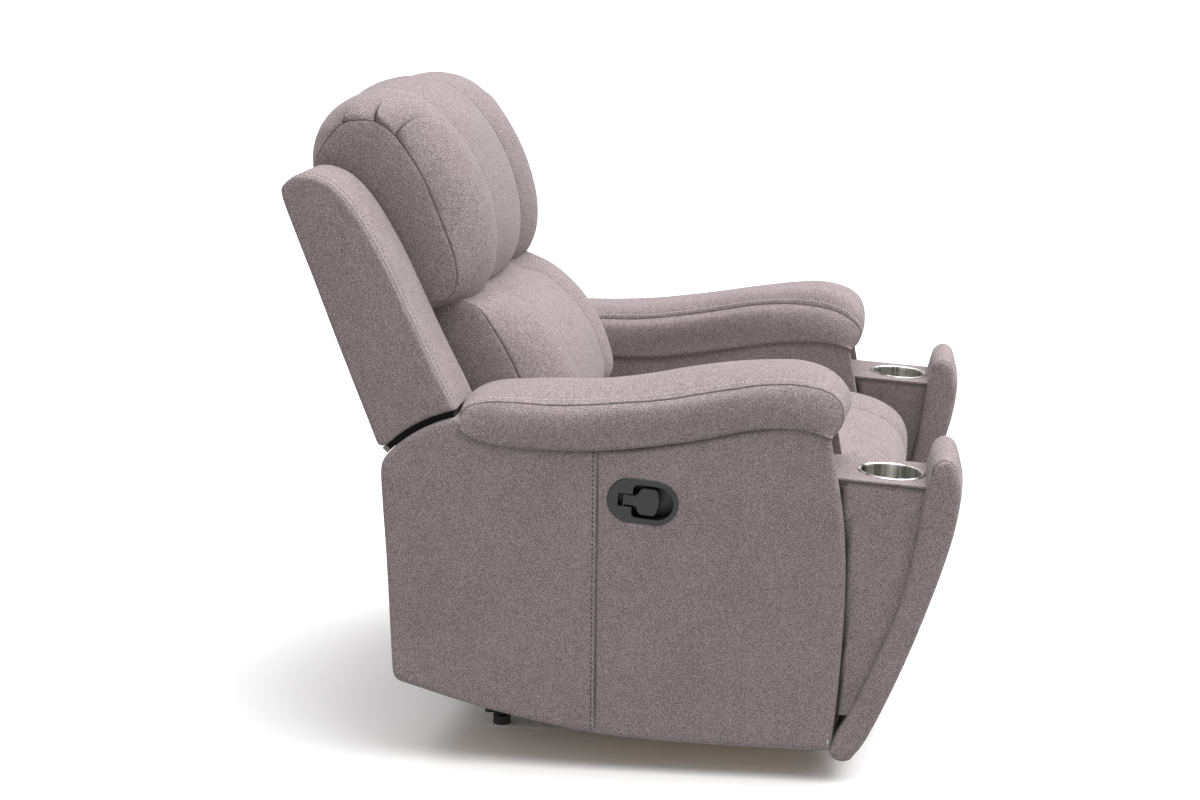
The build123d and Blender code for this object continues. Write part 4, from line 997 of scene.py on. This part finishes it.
arms = {}
for name, s in SIDES:
    outer = slab(f"{name}_arm_outside", ARM_PATCHES, ARM_LOOP, s, 452.0, 442.0, 8.6, 0.6, 2.2, 0.0, (442.9,), FABRIC)
    mid = Seam(world(s * 453.5, seam_line[:, 0], seam_line[:, 1]))
    # the last value of the seam is the strength of the painted shade in its fold
    carve(outer, [(mid, 0.0018, 0.0015, 0.0010, 0.007, 0.0, 0.75)], lumps=((0.16, 0.0007),), seed=7.7)
    if s < 0:
        half, rad = 29.0, (97.0 - 58.0) / 2
        ring = [(rad + half * math.cos(a), half * math.sin(a)) for a in np.linspace(-math.pi / 2, math.pi / 2, 25)]
        ring += [(-rad - half * math.cos(a), -half * math.sin(a)) for a in np.linspace(-math.pi / 2, math.pi / 2, 25)]
        t = math.radians(5.5)
        ring = [(-57.0 - u * math.cos(t) - v * math.sin(t), 422.0 - u * math.sin(t) + v * math.cos(t)) for u, v in ring]
        pv = np.vstack([world(-438.0, *np.array(ring).T), world(-460.0, *np.array(ring).T)])
        k = len(ring)
        cutter = mesh_object("cutter", pv, [list(range(k)), list(range(k, 2 * k))] + [[i, (i + 1) % k, k + (i + 1) % k, k + i] for i in range(k)])
        mod = outer.modifiers.new("hole", "BOOLEAN")
        mod.operation, mod.solver, mod.object = "DIFFERENCE", "EXACT", cutter
        dg = bpy.context.evaluated_depsgraph_get()
        holed = bpy.data.meshes.new_from_object(outer.evaluated_get(dg))
        outer.modifiers.clear()
        outer.data = holed
        bpy.data.objects.remove(cutter)
    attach(outer, "frame")
    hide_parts(f"{name}_arm_outer_panel")
    path = world(s * 454.0, np.linspace(seam_line[0, 0], seam_line[1, 0], 80) + 6.0, np.linspace(seam_line[0, 1] + 4, seam_line[1, 1], 80))
    sew(f"{name}_arm_outside_stitch", outer, path, THREAD_DARK, "frame", pitch=7.0, long=3.0, wide=1.9, high=0.9, sink=0.25)
    inside = slab(f"{name}_arm_inside", INNER_PATCHES, ARM_LOOP, s, 292.0, 282.0, 0.6, 4.5, 0.0, 1.5, (291.2, 287.0), FABRIC)
    carve(inside, (), lumps=((0.16, 0.0006),), seed=8.8)
    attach(inside, "frame")
    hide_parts(f"{name}_arm_inner_panel")
    arms[name] = (outer, inside)

    # fabric over the rounded shoulder and down the back of the arm
    edge = np.vstack([arm_top[arm_top[:, 0] > 200.0], arm_rear[1:]])
    edge = resample(edge, 130)
    t = np.gradient(edge, axis=0)
    t /= np.linalg.norm(t, axis=1)[:, None]
    out = np.stack([-t[:, 1], t[:, 0]], 1)
    out *= np.sign((out[70] @ np.array([1.0, 0.2])))
    xs = np.r_[292.05, 292.6, 294.0, 297.0, np.linspace(303.0, 431.0, 20), 437.0, 440.0, 441.4, 441.95]
    roll = 1.6 * np.exp(-((xs - 292.05) / 1.6) ** 2) + 1.6 * np.exp(-((xs - 441.95) / 1.6) ** 2)
    top = edge[:, None] - out[:, None] * roll[None, :, None]
    low = edge[:, None] - out[:, None] * np.full_like(xs, 3.4)[None, :, None]
    vt = world(s * xs[None, :], top[..., 0], top[..., 1])
    vl = world(s * xs[None, :], low[..., 0], low[..., 1])
    n_r, n_c = vt.shape[:2]
    ti = np.arange(n_r * n_c).reshape(n_r, n_c)
    li = ti + n_r * n_c
    loop_t = np.r_[ti[0], ti[1:, -1], ti[-1, -2::-1], ti[-2:0:-1, 0]]
    loop_l = np.r_[li[0], li[1:, -1], li[-1, -2::-1], li[-2:0:-1, 0]]
    both = np.vstack([loop_t, loop_l])
    strip = mesh_object(f"{name}_arm_back_strip", np.vstack([vt.reshape(-1, 3), vl.reshape(-1, 3)]),
                        quads(ti) + quads(li) + quads(np.hstack([both, both[:, :1]])), FABRIC)
    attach(strip, "frame")

# ---------------------------------------------------------------- back wings
WING_R = 218.0
WING_EDGE = [(34, math.sqrt(WING_R ** 2 - 34 ** 2)), (33, 240), (28, 298), (21, 436), (15, 492), (10, 525), (1, 560), (-12, 588), (-30, 607), (-53, 618), (-73, 616), (-83, 610),
             (-87.4, 601), (-88, 590)]
wing_line = smooth_line(back(WING_EDGE))
d = np.r_[0, np.cumsum(np.linalg.norm(np.diff(wing_line, axis=0), axis=1))]
k = int(np.searchsorted(d, d[-1] - 105.0))
wing_front, wing_top = wing_line[:k + 1], wing_line[k:]
low_n = np.linspace(-80.0, 34.0, 60)
wing_low = back(np.vstack([smooth_line([(-96.2, 213.0), (-95.0, 206.3), (-89.5, 201.6), (-80.0, math.sqrt(WING_R ** 2 - 80 ** 2))], 8)[:-1],
                           np.stack([low_n, np.sqrt(WING_R ** 2 - low_n ** 2)], 1)]))
wing_rear = np.array([back((-88.0, 590.0)), wing_low[0]])
WING_LOOP = np.vstack([resample(wing_low, 80)[:-1], resample(wing_front, 200)[:-1], resample(wing_top, 80)[:-1], resample(wing_rear, 160)[:-1]])
wing_u = edge_u(118.0, 5.0, 7.0)
wing_v = edge_u(400.0, 5.0, 7.0)
WING_PATCHES = [coons(wing_low, wing_top[::-1], wing_rear[::-1], wing_front, wing_u, wing_v)]
wing_band = np.vstack([wing_front, wing_top[1:]])
for name, s in SIDES:
    wx = 448.0 - np.r_[7.2, 8.2, 9.4, 11.0, 13.0, 15.5, 18.5, 22.0, 26.0, np.linspace(31.0, 126.0, 17), 130.0, 133.0]
    wing = slab(f"{name}_back_wing_cover", WING_PATCHES, WING_LOOP, s, 448.0, 308.5, 6.4, 6.4, 4.0, 1.0, wx, FABRIC)
    wing.data.materials.append(LINING)
    line = Seam(world(s * (448.0 - 6.6), wing_band[:, 0], wing_band[:, 1]))
    # the last value of the seam is the strength of the painted shade in its fold
    carve(wing, [(line, 0.0020, 0.0015, 0.0010, 0.006, 0.0003, 1.00)], lumps=((0.12, 0.0009),), seed=9.5)
    # the wing's underside over the arm takes the black lining, whose black also stands in for the shade of the narrow
    # gap
    cy, cz = PIVOT_Y + SHIFT_Y, PIVOT_Z
    for f in wing.data.polygons:
        c = f.center
        if abs(math.hypot(c.y * 1000 - cy, c.z * 1000 - cz) - WING_R) < 1.5 and f.normal.z < -0.3 and abs(c.x * 1000) < 441.0:
            f.material_index = 1
    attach(wing, "backrest")
    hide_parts(f"{name}_back_wing")
    path = world(s * (448.0 - 23.0), wing_band[:, 0], wing_band[:, 1])
    sew(f"{name}_back_wing_stitch", wing, path, THREAD_DARK, "backrest", pitch=6.6, long=3.2, wide=1.4, high=0.7, start=0.012)

    # black lining cloth under the wing, turned back at its rear edge; its black also stands in for the deep shade of
    # the narrow gap over the arm
    phi = np.linspace(math.asin(-89.0 / 213.4), math.asin(30.0 / 213.4), 50)
    lx = np.array([309.0, 375.0, 441.0])
    corner = 2.5 * np.clip((-78.0 - 213.4 * np.sin(phi)) / 11.0, 0, 1) ** 1.5
    arcs = [back(np.stack([r * np.sin(phi), r * np.cos(phi)], 1)) for r in (np.full(50, 209.1), 217.4 + corner)]
    vs = np.concatenate([world(s * lx[None, :], q[:, :1], q[:, 1:]).reshape(-1, 3) for q in arcs])
    ti = np.arange(len(phi) * 3).reshape(len(phi), 3)
    li = ti + ti.size
    both = np.vstack([np.r_[q[0], q[1:, -1], q[-1, -2::-1], q[-2:0:-1, 0]] for q in (ti, li)])
    under = mesh_object(f"{name}_wing_shade_lining", vs, quads(ti) + quads(li) + quads(np.hstack([both, both[:, :1]])), LINING)
    under.data.materials.append(FABRIC)
    for f in under.data.polygons:
        f.use_smooth = False
        if (PIVOT_Y + SHIFT_Y) * MM + 0.0 < f.center.y and math.atan2(f.center.z * 1000 - PIVOT_Z, f.center.y * 1000 - PIVOT_Y - SHIFT_Y) < math.pi / 2 - LEAN + phi[3]:
            f.material_index = 1
    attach(under, "backrest")

    # cloth side of the back, inside the wing
    sp_front = resample(back([(22, 226), (18, 298), (11, 436), (5, 492), (0, 525), (-9, 560), (-21, 584), (-34, 596)]), 200)
    sp_rear = resample(back([(-79, 226), (-79, 596)]), 120)
    sp_low, sp_top = np.array([sp_rear[0], sp_front[0]]), np.array([sp_rear[-1], sp_front[-1]])
    sp_loop = np.vstack([resample(sp_low, 40)[:-1], sp_front[:-1], resample(sp_top[::-1], 30)[:-1], sp_rear[::-1][:-1]])
    inner = slab(f"{name}_back_side_cloth", [coons(sp_low, sp_top, sp_rear, sp_front, edge_u(100.0, 8.0, 3.0), edge_u(370.0, 8.0, 3.0))], sp_loop, s, 307.4, 300.0, 0.4, 3.0, 0.0, 1.5,
                 (305.0,), FABRIC)
    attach(inner, "backrest")

# outside back
bx = spaced(-306.5, 306.5, 9.0, (-306.5, 306.5), fine=1.5, reach=8.0)
bb = spaced(204.0, 604.0, 9.0, (204.0, 604.0), fine=1.5, reach=8.0)
dx = 306.5 - np.abs(bx)
db = np.minimum(bb - 204.0, 604.0 - bb)
dd = np.minimum(dx[None, :], db[:, None])
puff = 5.5 * (1 - np.exp(-(dd / 70.0) ** 1.3)) - 2.6 * (1 - np.sqrt(np.clip(1 - (1 - np.clip(dd / 2.6, 0, 1)) ** 2, 0, 1)))
yz = back(np.stack([-83.2 - puff, np.broadcast_to(bb[:, None], puff.shape)], -1))
vo = world(np.broadcast_to(bx[None, :], puff.shape), yz[..., 0], yz[..., 1])
yz = back(np.stack([np.full_like(puff, -80.8), np.broadcast_to(bb[:, None], puff.shape)], -1))
vi = world(np.broadcast_to(bx[None, :], puff.shape), yz[..., 0], yz[..., 1])
oi = np.arange(vo.shape[0] * vo.shape[1]).reshape(vo.shape[:2])
ii = oi + oi.size
lo_ = np.r_[oi[0], oi[1:, -1], oi[-1, -2::-1], oi[-2:0:-1, 0]]
li_ = np.r_[ii[0], ii[1:, -1], ii[-1, -2::-1], ii[-2:0:-1, 0]]
both = np.vstack([lo_, li_])
outback = mesh_object("outside_back_cover", np.vstack([vo.reshape(-1, 3), vi.reshape(-1, 3)]), quads(oi) + quads(ii) + quads(np.hstack([both, both[:, :1]])), FABRIC)
carve(outback, (), lumps=((0.15, 0.0010),), seed=10.1)
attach(outback, "backrest")
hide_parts("back_cover")

# rear flap: loose cloth from the rear panel to the bottom of the outside back
fx = np.linspace(-280.5, 280.5, 71)
fz = np.linspace(250.5, 493.0, 42)
sag = 1.6 * np.sin((fz - 250.5) / 236.0 * math.pi)
yy = 317.9 + (327.0 - 317.9) * (fz - 250.5) / 236.0
wave = 0.9 * np.sin(fx / 41.0)[None, :] * np.sin((fz - 250.5) / 236.0 * math.pi)[:, None]
fo = world(np.broadcast_to(fx[None, :], wave.shape), yy[:, None] + 1.0 + sag[:, None] + wave, np.broadcast_to(fz[:, None], wave.shape))
fi_ = world(np.broadcast_to(fx[None, :], wave.shape), yy[:, None] - 0.2 + sag[:, None] + wave, np.broadcast_to(fz[:, None], wave.shape))
oi = np.arange(wave.size).reshape(wave.shape)
ii = oi + oi.size
lo_ = np.r_[oi[0], oi[1:, -1], oi[-1, -2::-1], oi[-2:0:-1, 0]]
li_ = np.r_[ii[0], ii[1:, -1], ii[-1, -2::-1], ii[-2:0:-1, 0]]
both = np.vstack([lo_, li_])
flap = mesh_object("rear_flap_cloth", np.vstack([fo.reshape(-1, 3), fi_.reshape(-1, 3)]), quads(oi) + quads(ii) + quads(np.hstack([both, both[:, :1]])), FABRIC)
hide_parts("rear_flap")
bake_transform(flap)

# ---------------------------------------------------------------- consoles
PANEL_INNER = [(-473.5, 480), (-470, 459), (-461, 395), (-440, 289), (-406, 196), (-365, 105), (-349, 79), (-334, 50)]
PANEL_OUTER = [(-366, 36.5), (-385, 63), (-432, 167), (-471, 272), (-490, 329), (-508, 397), (-514, 452), (-508, 482)]
con_in = smooth_line(np.array(PANEL_INNER) + np.array([[0, 0], [3.5, 0], [4, 0], [4, 0], [4, 0], [4, 0], [3, 0], [0, 0]]))[::-1]
con_out = smooth_line(PANEL_OUTER)
con_top = smooth_line([(-508, 482), (-504.5, 491), (-497, 497), (-489, 498), (-482, 494.8), (-476, 488.5), (-473.5, 480)])
con_bot = smooth_line([(-366, 36.5), (-353, 34.5), (-340, 39), (-334, 50)])
CON_LOOP = np.vstack([resample(con_bot, 40)[:-1], resample(con_in, 220)[:-1], resample(con_top[::-1], 50)[:-1], resample(con_out[::-1], 220)[:-1]])
con_u = edge_u(40.0, 4.5, 8.0)
con_v = edge_u(450.0, 6.0, 8.0)
CON_PATCHES = [coons(con_bot, con_top, con_out, con_in, con_u, con_v)]
con_band = np.vstack([con_out, con_top[1:]])



def panel_crown(co):
    """The stuffed front of a console panel, crowned between its two edge seams."""
    line = world(0.0, con_band[:, 0], con_band[:, 1])[:, 1:]
    gap = np.min(np.linalg.norm(co[:, None, 1:] - line[None], axis=-1), axis=1)
    across = np.clip(1 - ((np.abs(co[:, 0]) * 1000 - 367.0) / 78.0) ** 2, 0, 1)
    return 0.0045 * across ** 0.8 * np.exp(-(gap / 0.013) ** 4), np.zeros(len(co))


def painted_box_shade(co):
    """Painted shade on the cloth of a console box: dark where it runs in behind the arm's front edge, a dark line just
    under the lid's top edge, and a lighter shade over the whole inner cloth.
    """
    front = np.interp(co[:, 2] * 1000, [z for _, z in ARM_FRONT], [y for y, _ in ARM_FRONT]) + SHIFT_Y
    top = 455.0 + (co[:, 1] * 1000 - SHIFT_Y + 470.5) * math.tan(LID_TILT) - 2.2
    painted_shade = 0.9 * np.clip((co[:, 1] * 1000 - front + 8.0) / 3.5, 0, 1)
    painted_shade = np.maximum(painted_shade, 0.8 * np.exp(-((top - co[:, 2] * 1000 - 1.0) / 1.8) ** 2))
    # painted shade over the whole inner cloth of the box
    return np.zeros(len(co)), np.where(np.abs(co[:, 0]) < 0.330, np.maximum(painted_shade, 0.25), painted_shade)


LID_TILT = math.radians(4.2)
LID_Z = 455.0 + (-414.0 + 470.5) * math.tan(LID_TILT)
for name, s in SIDES:
    body = f"{name}_console"
    wx = 453.0 - np.r_[8.0, 9.2, 10.8, 13.0, 16.0, np.linspace(21.0, 151.0, 20), 156.0, 159.0, 161.2, 162.8]
    panel = slab(f"{name}_console_front_cover", CON_PATCHES, CON_LOOP, s, 453.0, 281.0, 7.6, 7.6, 1.6, 1.6, wx, FABRIC, soft=14.0)
    seams = [Seam(world(s * x, con_band[:, 0], con_band[:, 1])) for x in (453.0 - 6.8, 281.0 + 6.8)]
    # the last value of each seam is the strength of the painted shade in its fold
    carve(panel, [(q, 0.0018, 0.0015, 0.0008, 0.005, 0.0002, 1.00) for q in seams], lumps=((0.11, 0.0009),), extra=panel_crown, seed=11.2)
    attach(panel, body)
    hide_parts(f"{name}_console_panel")

    # cloth sides over box and lid, ending in one seam below the lid's top
    lift = math.tan(LID_TILT)
    sk_top = np.array([(y, 455.0 + (y + 470.5) * lift - 2.2) for y in (-313.0, -467.4)])
    sk_rear = np.array([(-331.0, 104.0), sk_top[0]])
    sk_front = np.array([(-362.5, 104.0), (-403.5, 195.0), (-437.5, 288.0), (-458.5, 394.0), sk_top[1]])
    sk_low = np.array([sk_rear[0], sk_front[0]])
    sk_loop = np.vstack([resample(q, 60)[:-1] for q in (sk_low, sk_front, sk_top[::-1], sk_rear[::-1])])
    sk = [coons(sk_low, sk_top, sk_rear, sk_front, edge_u(110.0, 7.0, 1.5), edge_u(350.0, 7.0, 1.5))]
    for part, xo, xi, ro, ri, bo, bi in (("outer", 440.7, 438.1, 1.5, 0.3, 0.4, 0.0), ("inner", 295.9, 293.3, 0.3, 1.5, 0.0, 0.4)):
        skin = slab(f"{name}_console_{part}_cloth", sk, sk_loop, s, xo, xi, ro, ri, bo, bi, (xo - ro - 0.3,), FABRIC)
        # painted shade on the cloth sides: at the arm's front edge, under the lid's top edge and over the inner face
        carve(skin, (), lumps=(), extra=painted_box_shade, seed=1.0)
        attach(skin, body)

    # steel cup: spun wall, rounded foot and rolled rim
    prof = [(0.0, -74.2), (34.0, -74.2), (38.8, -73.6), (41.6, -71.6), (43.2, -68.2), (43.9, -63.0), (44.0, -40.0), (44.0, -8.0), (44.05, -2.0), (44.7, 0.2),
            (45.8, 1.2), (47.0, 1.6), (48.4, 1.5), (49.5, 1.1), (50.2, 0.6), (50.2, 0.05), (49.0, 0.02), (46.5, 0.02), (45.5, -0.4), (45.4, -40.0), (45.4, -66.0),
            (44.4, -72.0), (41.0, -75.4), (34.0, -75.9), (0.0, -75.9)]
    pr = smooth_line(prof, 4)
    pr[:, 0] = np.maximum(pr[:, 0], 0.0)
    seg = 96
    verts, faces = [], []
    ax = np.array([0.0, -math.sin(LID_TILT), math.cos(LID_TILT)])
    ex, ey = np.array([1.0, 0, 0]), np.array([0.0, math.cos(LID_TILT), math.sin(LID_TILT)])
    c0 = world(s * 367.0, -414.0, LID_Z)
    for r, h in pr[1:-1]:
        for q in range(seg):
            a = 2 * math.pi * q / seg
            verts.append(c0 + MM * (r * (math.cos(a) * ex + math.sin(a) * ey) + h * ax))
    m_ = len(pr) - 2
    idx = np.arange(m_ * seg).reshape(m_, seg)
    faces = quads(np.hstack([idx, idx[:, :1]]))
    verts += [c0 + MM * pr[0, 1] * ax, c0 + MM * pr[-1, 1] * ax]
    for q in range(seg):
        faces.append([m_ * seg, int(idx[0, (q + 1) % seg]), int(idx[0, q])])
        faces.append([m_ * seg + 1, int(idx[-1, q]), int(idx[-1, (q + 1) % seg])])
    cup = mesh_object(f"{name}_cup", np.array(verts), faces, STAINLESS_PAINTED_REFLECTION)
    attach(cup, body)
    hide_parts(f"{name}_cup_holder")

# ---------------------------------------------------------------- release paddle
t = math.radians(5.5)


def lever_point(u, v, h):
    """Along the handle to the front, up, and outwards from the arm's outer face."""
    return world(-452.0 - h, -57.0 - u * math.cos(t) - v * math.sin(t), 422.0 - u * math.sin(t) + v * math.cos(t))


outline = [(-31.6, -8.4), (-31.6, 8.4), (-14.5, 8.4), (-10.6, 9.4), (-8.2, 12.6), (-6.0, 17.2), (-2.6, 20.6), (15.5, 20.8), (19.4, 18.6), (21.6, 13.5), (23.4, 3.0),
           (23.2, -6.0), (20.6, -15.0), (17.6, -20.2), (13.8, -20.9), (-3.2, -20.6), (-7.6, -16.4), (-9.4, -11.0), (-12.4, -8.8)]
op = np.array(outline, float)
ctr = np.array([2.0, 0.0])
levels = [(0.0, -7.9), (0.0, -1.5), (0.35, -0.6), (1.0, -0.12), (1.8, 0.0), (4.0, -0.15), (8.0, -0.7)]
poly = np.vstack([op, op[:1]])
dense = resample(poly, 181)[:-1]
tg = np.roll(dense, -1, 0) - np.roll(dense, 1, 0)
tg /= np.linalg.norm(tg, axis=1)[:, None]
nin = np.stack([tg[:, 1], -tg[:, 0]], 1)
if np.mean(((ctr - dense) * nin).sum(1)) < 0:
    nin = -nin
rows_ = []
for depth, h in levels[:5]:
    p = dense + nin * depth
    rows_.append(lever_point(p[:, 0], p[:, 1], h))
verts = np.vstack(rows_)
nl = len(dense)
idx = np.arange(5 * nl).reshape(5, nl)
faces = quads(np.hstack([idx, idx[:, :1]])) + [[int(i) for i in idx[-1]], [int(i) for i in idx[0]]]
paddle = mesh_object("release_paddle", verts, faces, BLACK_PLASTIC)
for f in paddle.data.polygons:
    f.use_smooth = len(f.vertices) == 4
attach(paddle, "lever")
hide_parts("lever_paddle")

# ---------------------------------------------------------------- carried-over nodes
CARRIED = {
    "floor_glides": (GLIDE_PLASTIC, 1.5), "base_rails": (BLACK_STEEL, 0.6), "base_cross_tubes": (BLACK_STEEL, 0.4), "side_plate_left": (BLACK_STEEL, 0.5),
    "side_plate_right": (BLACK_STEEL, 0.5), "mechanism_cross_tubes": (BLACK_STEEL, 0.4), "plate_rivets": (ZINC, 0.5), "back_pivot_bolts": (BLACK_STEEL, 0.6),
    "arm_bolts": (ZINC, 0.5), "seat_side_rails": (TIMBER, 1.2), "seat_front_rail": (TIMBER, 1.2), "seat_rear_rail": (TIMBER, 1.2), "seat_springs": (ZINC, 0.6),
    "left_arm_frame": (TIMBER, 1.0), "right_arm_frame": (TIMBER, 1.0), "console_hinge_rods": (ZINC, 0.4), "rear_panel": (FABRIC, 3.0), "lever_bezel": (BLACK_PLASTIC, 0.5),
    "lever_pin": (ZINC, 0.3), "release_cable": (GLIDE_PLASTIC, 0.0), "back_posts": (FABRIC, 1.2), "back_cross_rails": (LINING, 1.2), "back_brackets": (BLACK_STEEL, 0.5),
    "front_links": (BLACK_STEEL, 0.4), "front_link_rivets": (ZINC, 0.3), "cross_links": (BLACK_STEEL, 0.4), "cross_link_rivets": (ZINC, 0.3), "lower_links": (BLACK_STEEL, 0.4),
    "lower_link_rivets": (ZINC, 0.3), "upper_links": (BLACK_STEEL, 0.4), "rear_swing_links": (BLACK_STEEL, 0.4), "footrest_brackets": (BLACK_STEEL, 0.4),
    "bracket_rivets": (ZINC, 0.3), "footrest_board": (LINING, 1.5), "control_links": (BLACK_STEEL, 0.4),
    "left_console_box": (FABRIC, 2.0), "right_console_box": (FABRIC, 2.0), "left_console_lid": (FABRIC, 2.6), "right_console_lid": (FABRIC, 2.6),
}
for n, (m, width) in CARRIED.items():
    o = NODES[n]
    o.data.materials.clear()
    o.data.materials.append(m)
    if width:
        b = o.modifiers.new("edges", "BEVEL")
        b.width, b.segments, b.limit_method, b.angle_limit = width * MM, 3, "ANGLE", math.radians(40)
        b.harden_normals = False
        b.use_clamp_overlap = True

# ---------------------------------------------------------------- stage, light, camera
bpy.ops.mesh.primitive_plane_add(size=120.0, location=(0, 0, 0))
floor = bpy.context.object
floor.name = "studio_floor"
m, nt, b = material("studio_white", rough=0.85, spec=0.1)
tc, (slow,) = textures(nt, (0.8, 2.0, (1, 1, 1)))
nt.links.new(ramp(nt, slow, ((0.3, (0.93, 0.93, 0.935)), (0.7, (0.95, 0.95, 0.95)))), b.inputs["Base Color"])
floor.data.materials.append(m)
floor.visible_diffuse = False            # the floor stays white without throwing its light back on the chair

w = bpy.data.worlds.new("studio")
SCENE.world = w
w.use_nodes = True
nt = w.node_tree
bg = nt.nodes["Background"]
bg.inputs["Color"].default_value = (1.0, 0.99, 0.985, 1.0)
bg.inputs["Strength"].default_value = 0.57
paper = nt.nodes.new("ShaderNodeBackground")          # the white paper behind, as seen directly
paper.inputs["Color"].default_value = (1.0, 1.0, 1.0, 1.0)
paper.inputs["Strength"].default_value = 1.0
seen = nt.nodes.new("ShaderNodeLightPath")
both = nt.nodes.new("ShaderNodeMixShader")
nt.links.new(seen.outputs["Is Camera Ray"], both.inputs[0])
nt.links.new(bg.outputs[0], both.inputs[1])
nt.links.new(paper.outputs[0], both.inputs[2])
nt.links.new(both.outputs[0], nt.nodes["World Output"].inputs["Surface"])


def sun(name, direction, strength, angle, color=(1, 1, 1)):
    d = bpy.data.lights.new(name, "SUN")
    d.energy, d.angle, d.color = strength, math.radians(angle), color
    o = bpy.data.objects.new(name, d)
    SCENE.collection.objects.link(o)
    o.rotation_mode = "QUATERNION"
    o.rotation_quaternion = Vector(direction).to_track_quat("Z", "Y")
    return o


sun("key", (0.10, -0.50, 0.86), 2.85, 70.0)
sun("top", (0.06, -0.09, 1.0), 2.0, 80.0)

target = Vector((0.0, 0.089, 0.4725))
a, e = math.radians(-82.0), math.radians(12.3)
off = Vector((math.sin(a) * math.cos(e), -math.cos(a) * math.cos(e), math.sin(e)))
cam = bpy.data.cameras.new("camera")
cam.lens, cam.sensor_width, cam.clip_end = 69.36, 36.0, 400.0
co = bpy.data.objects.new("camera", cam)
SCENE.collection.objects.link(co)
co.location = target + off * 3.817
co.rotation_mode = "QUATERNION"
co.rotation_quaternion = (-off).to_track_quat("-Z", "Y")
SCENE.camera = co
SCENE.view_settings.view_transform = "Standard"
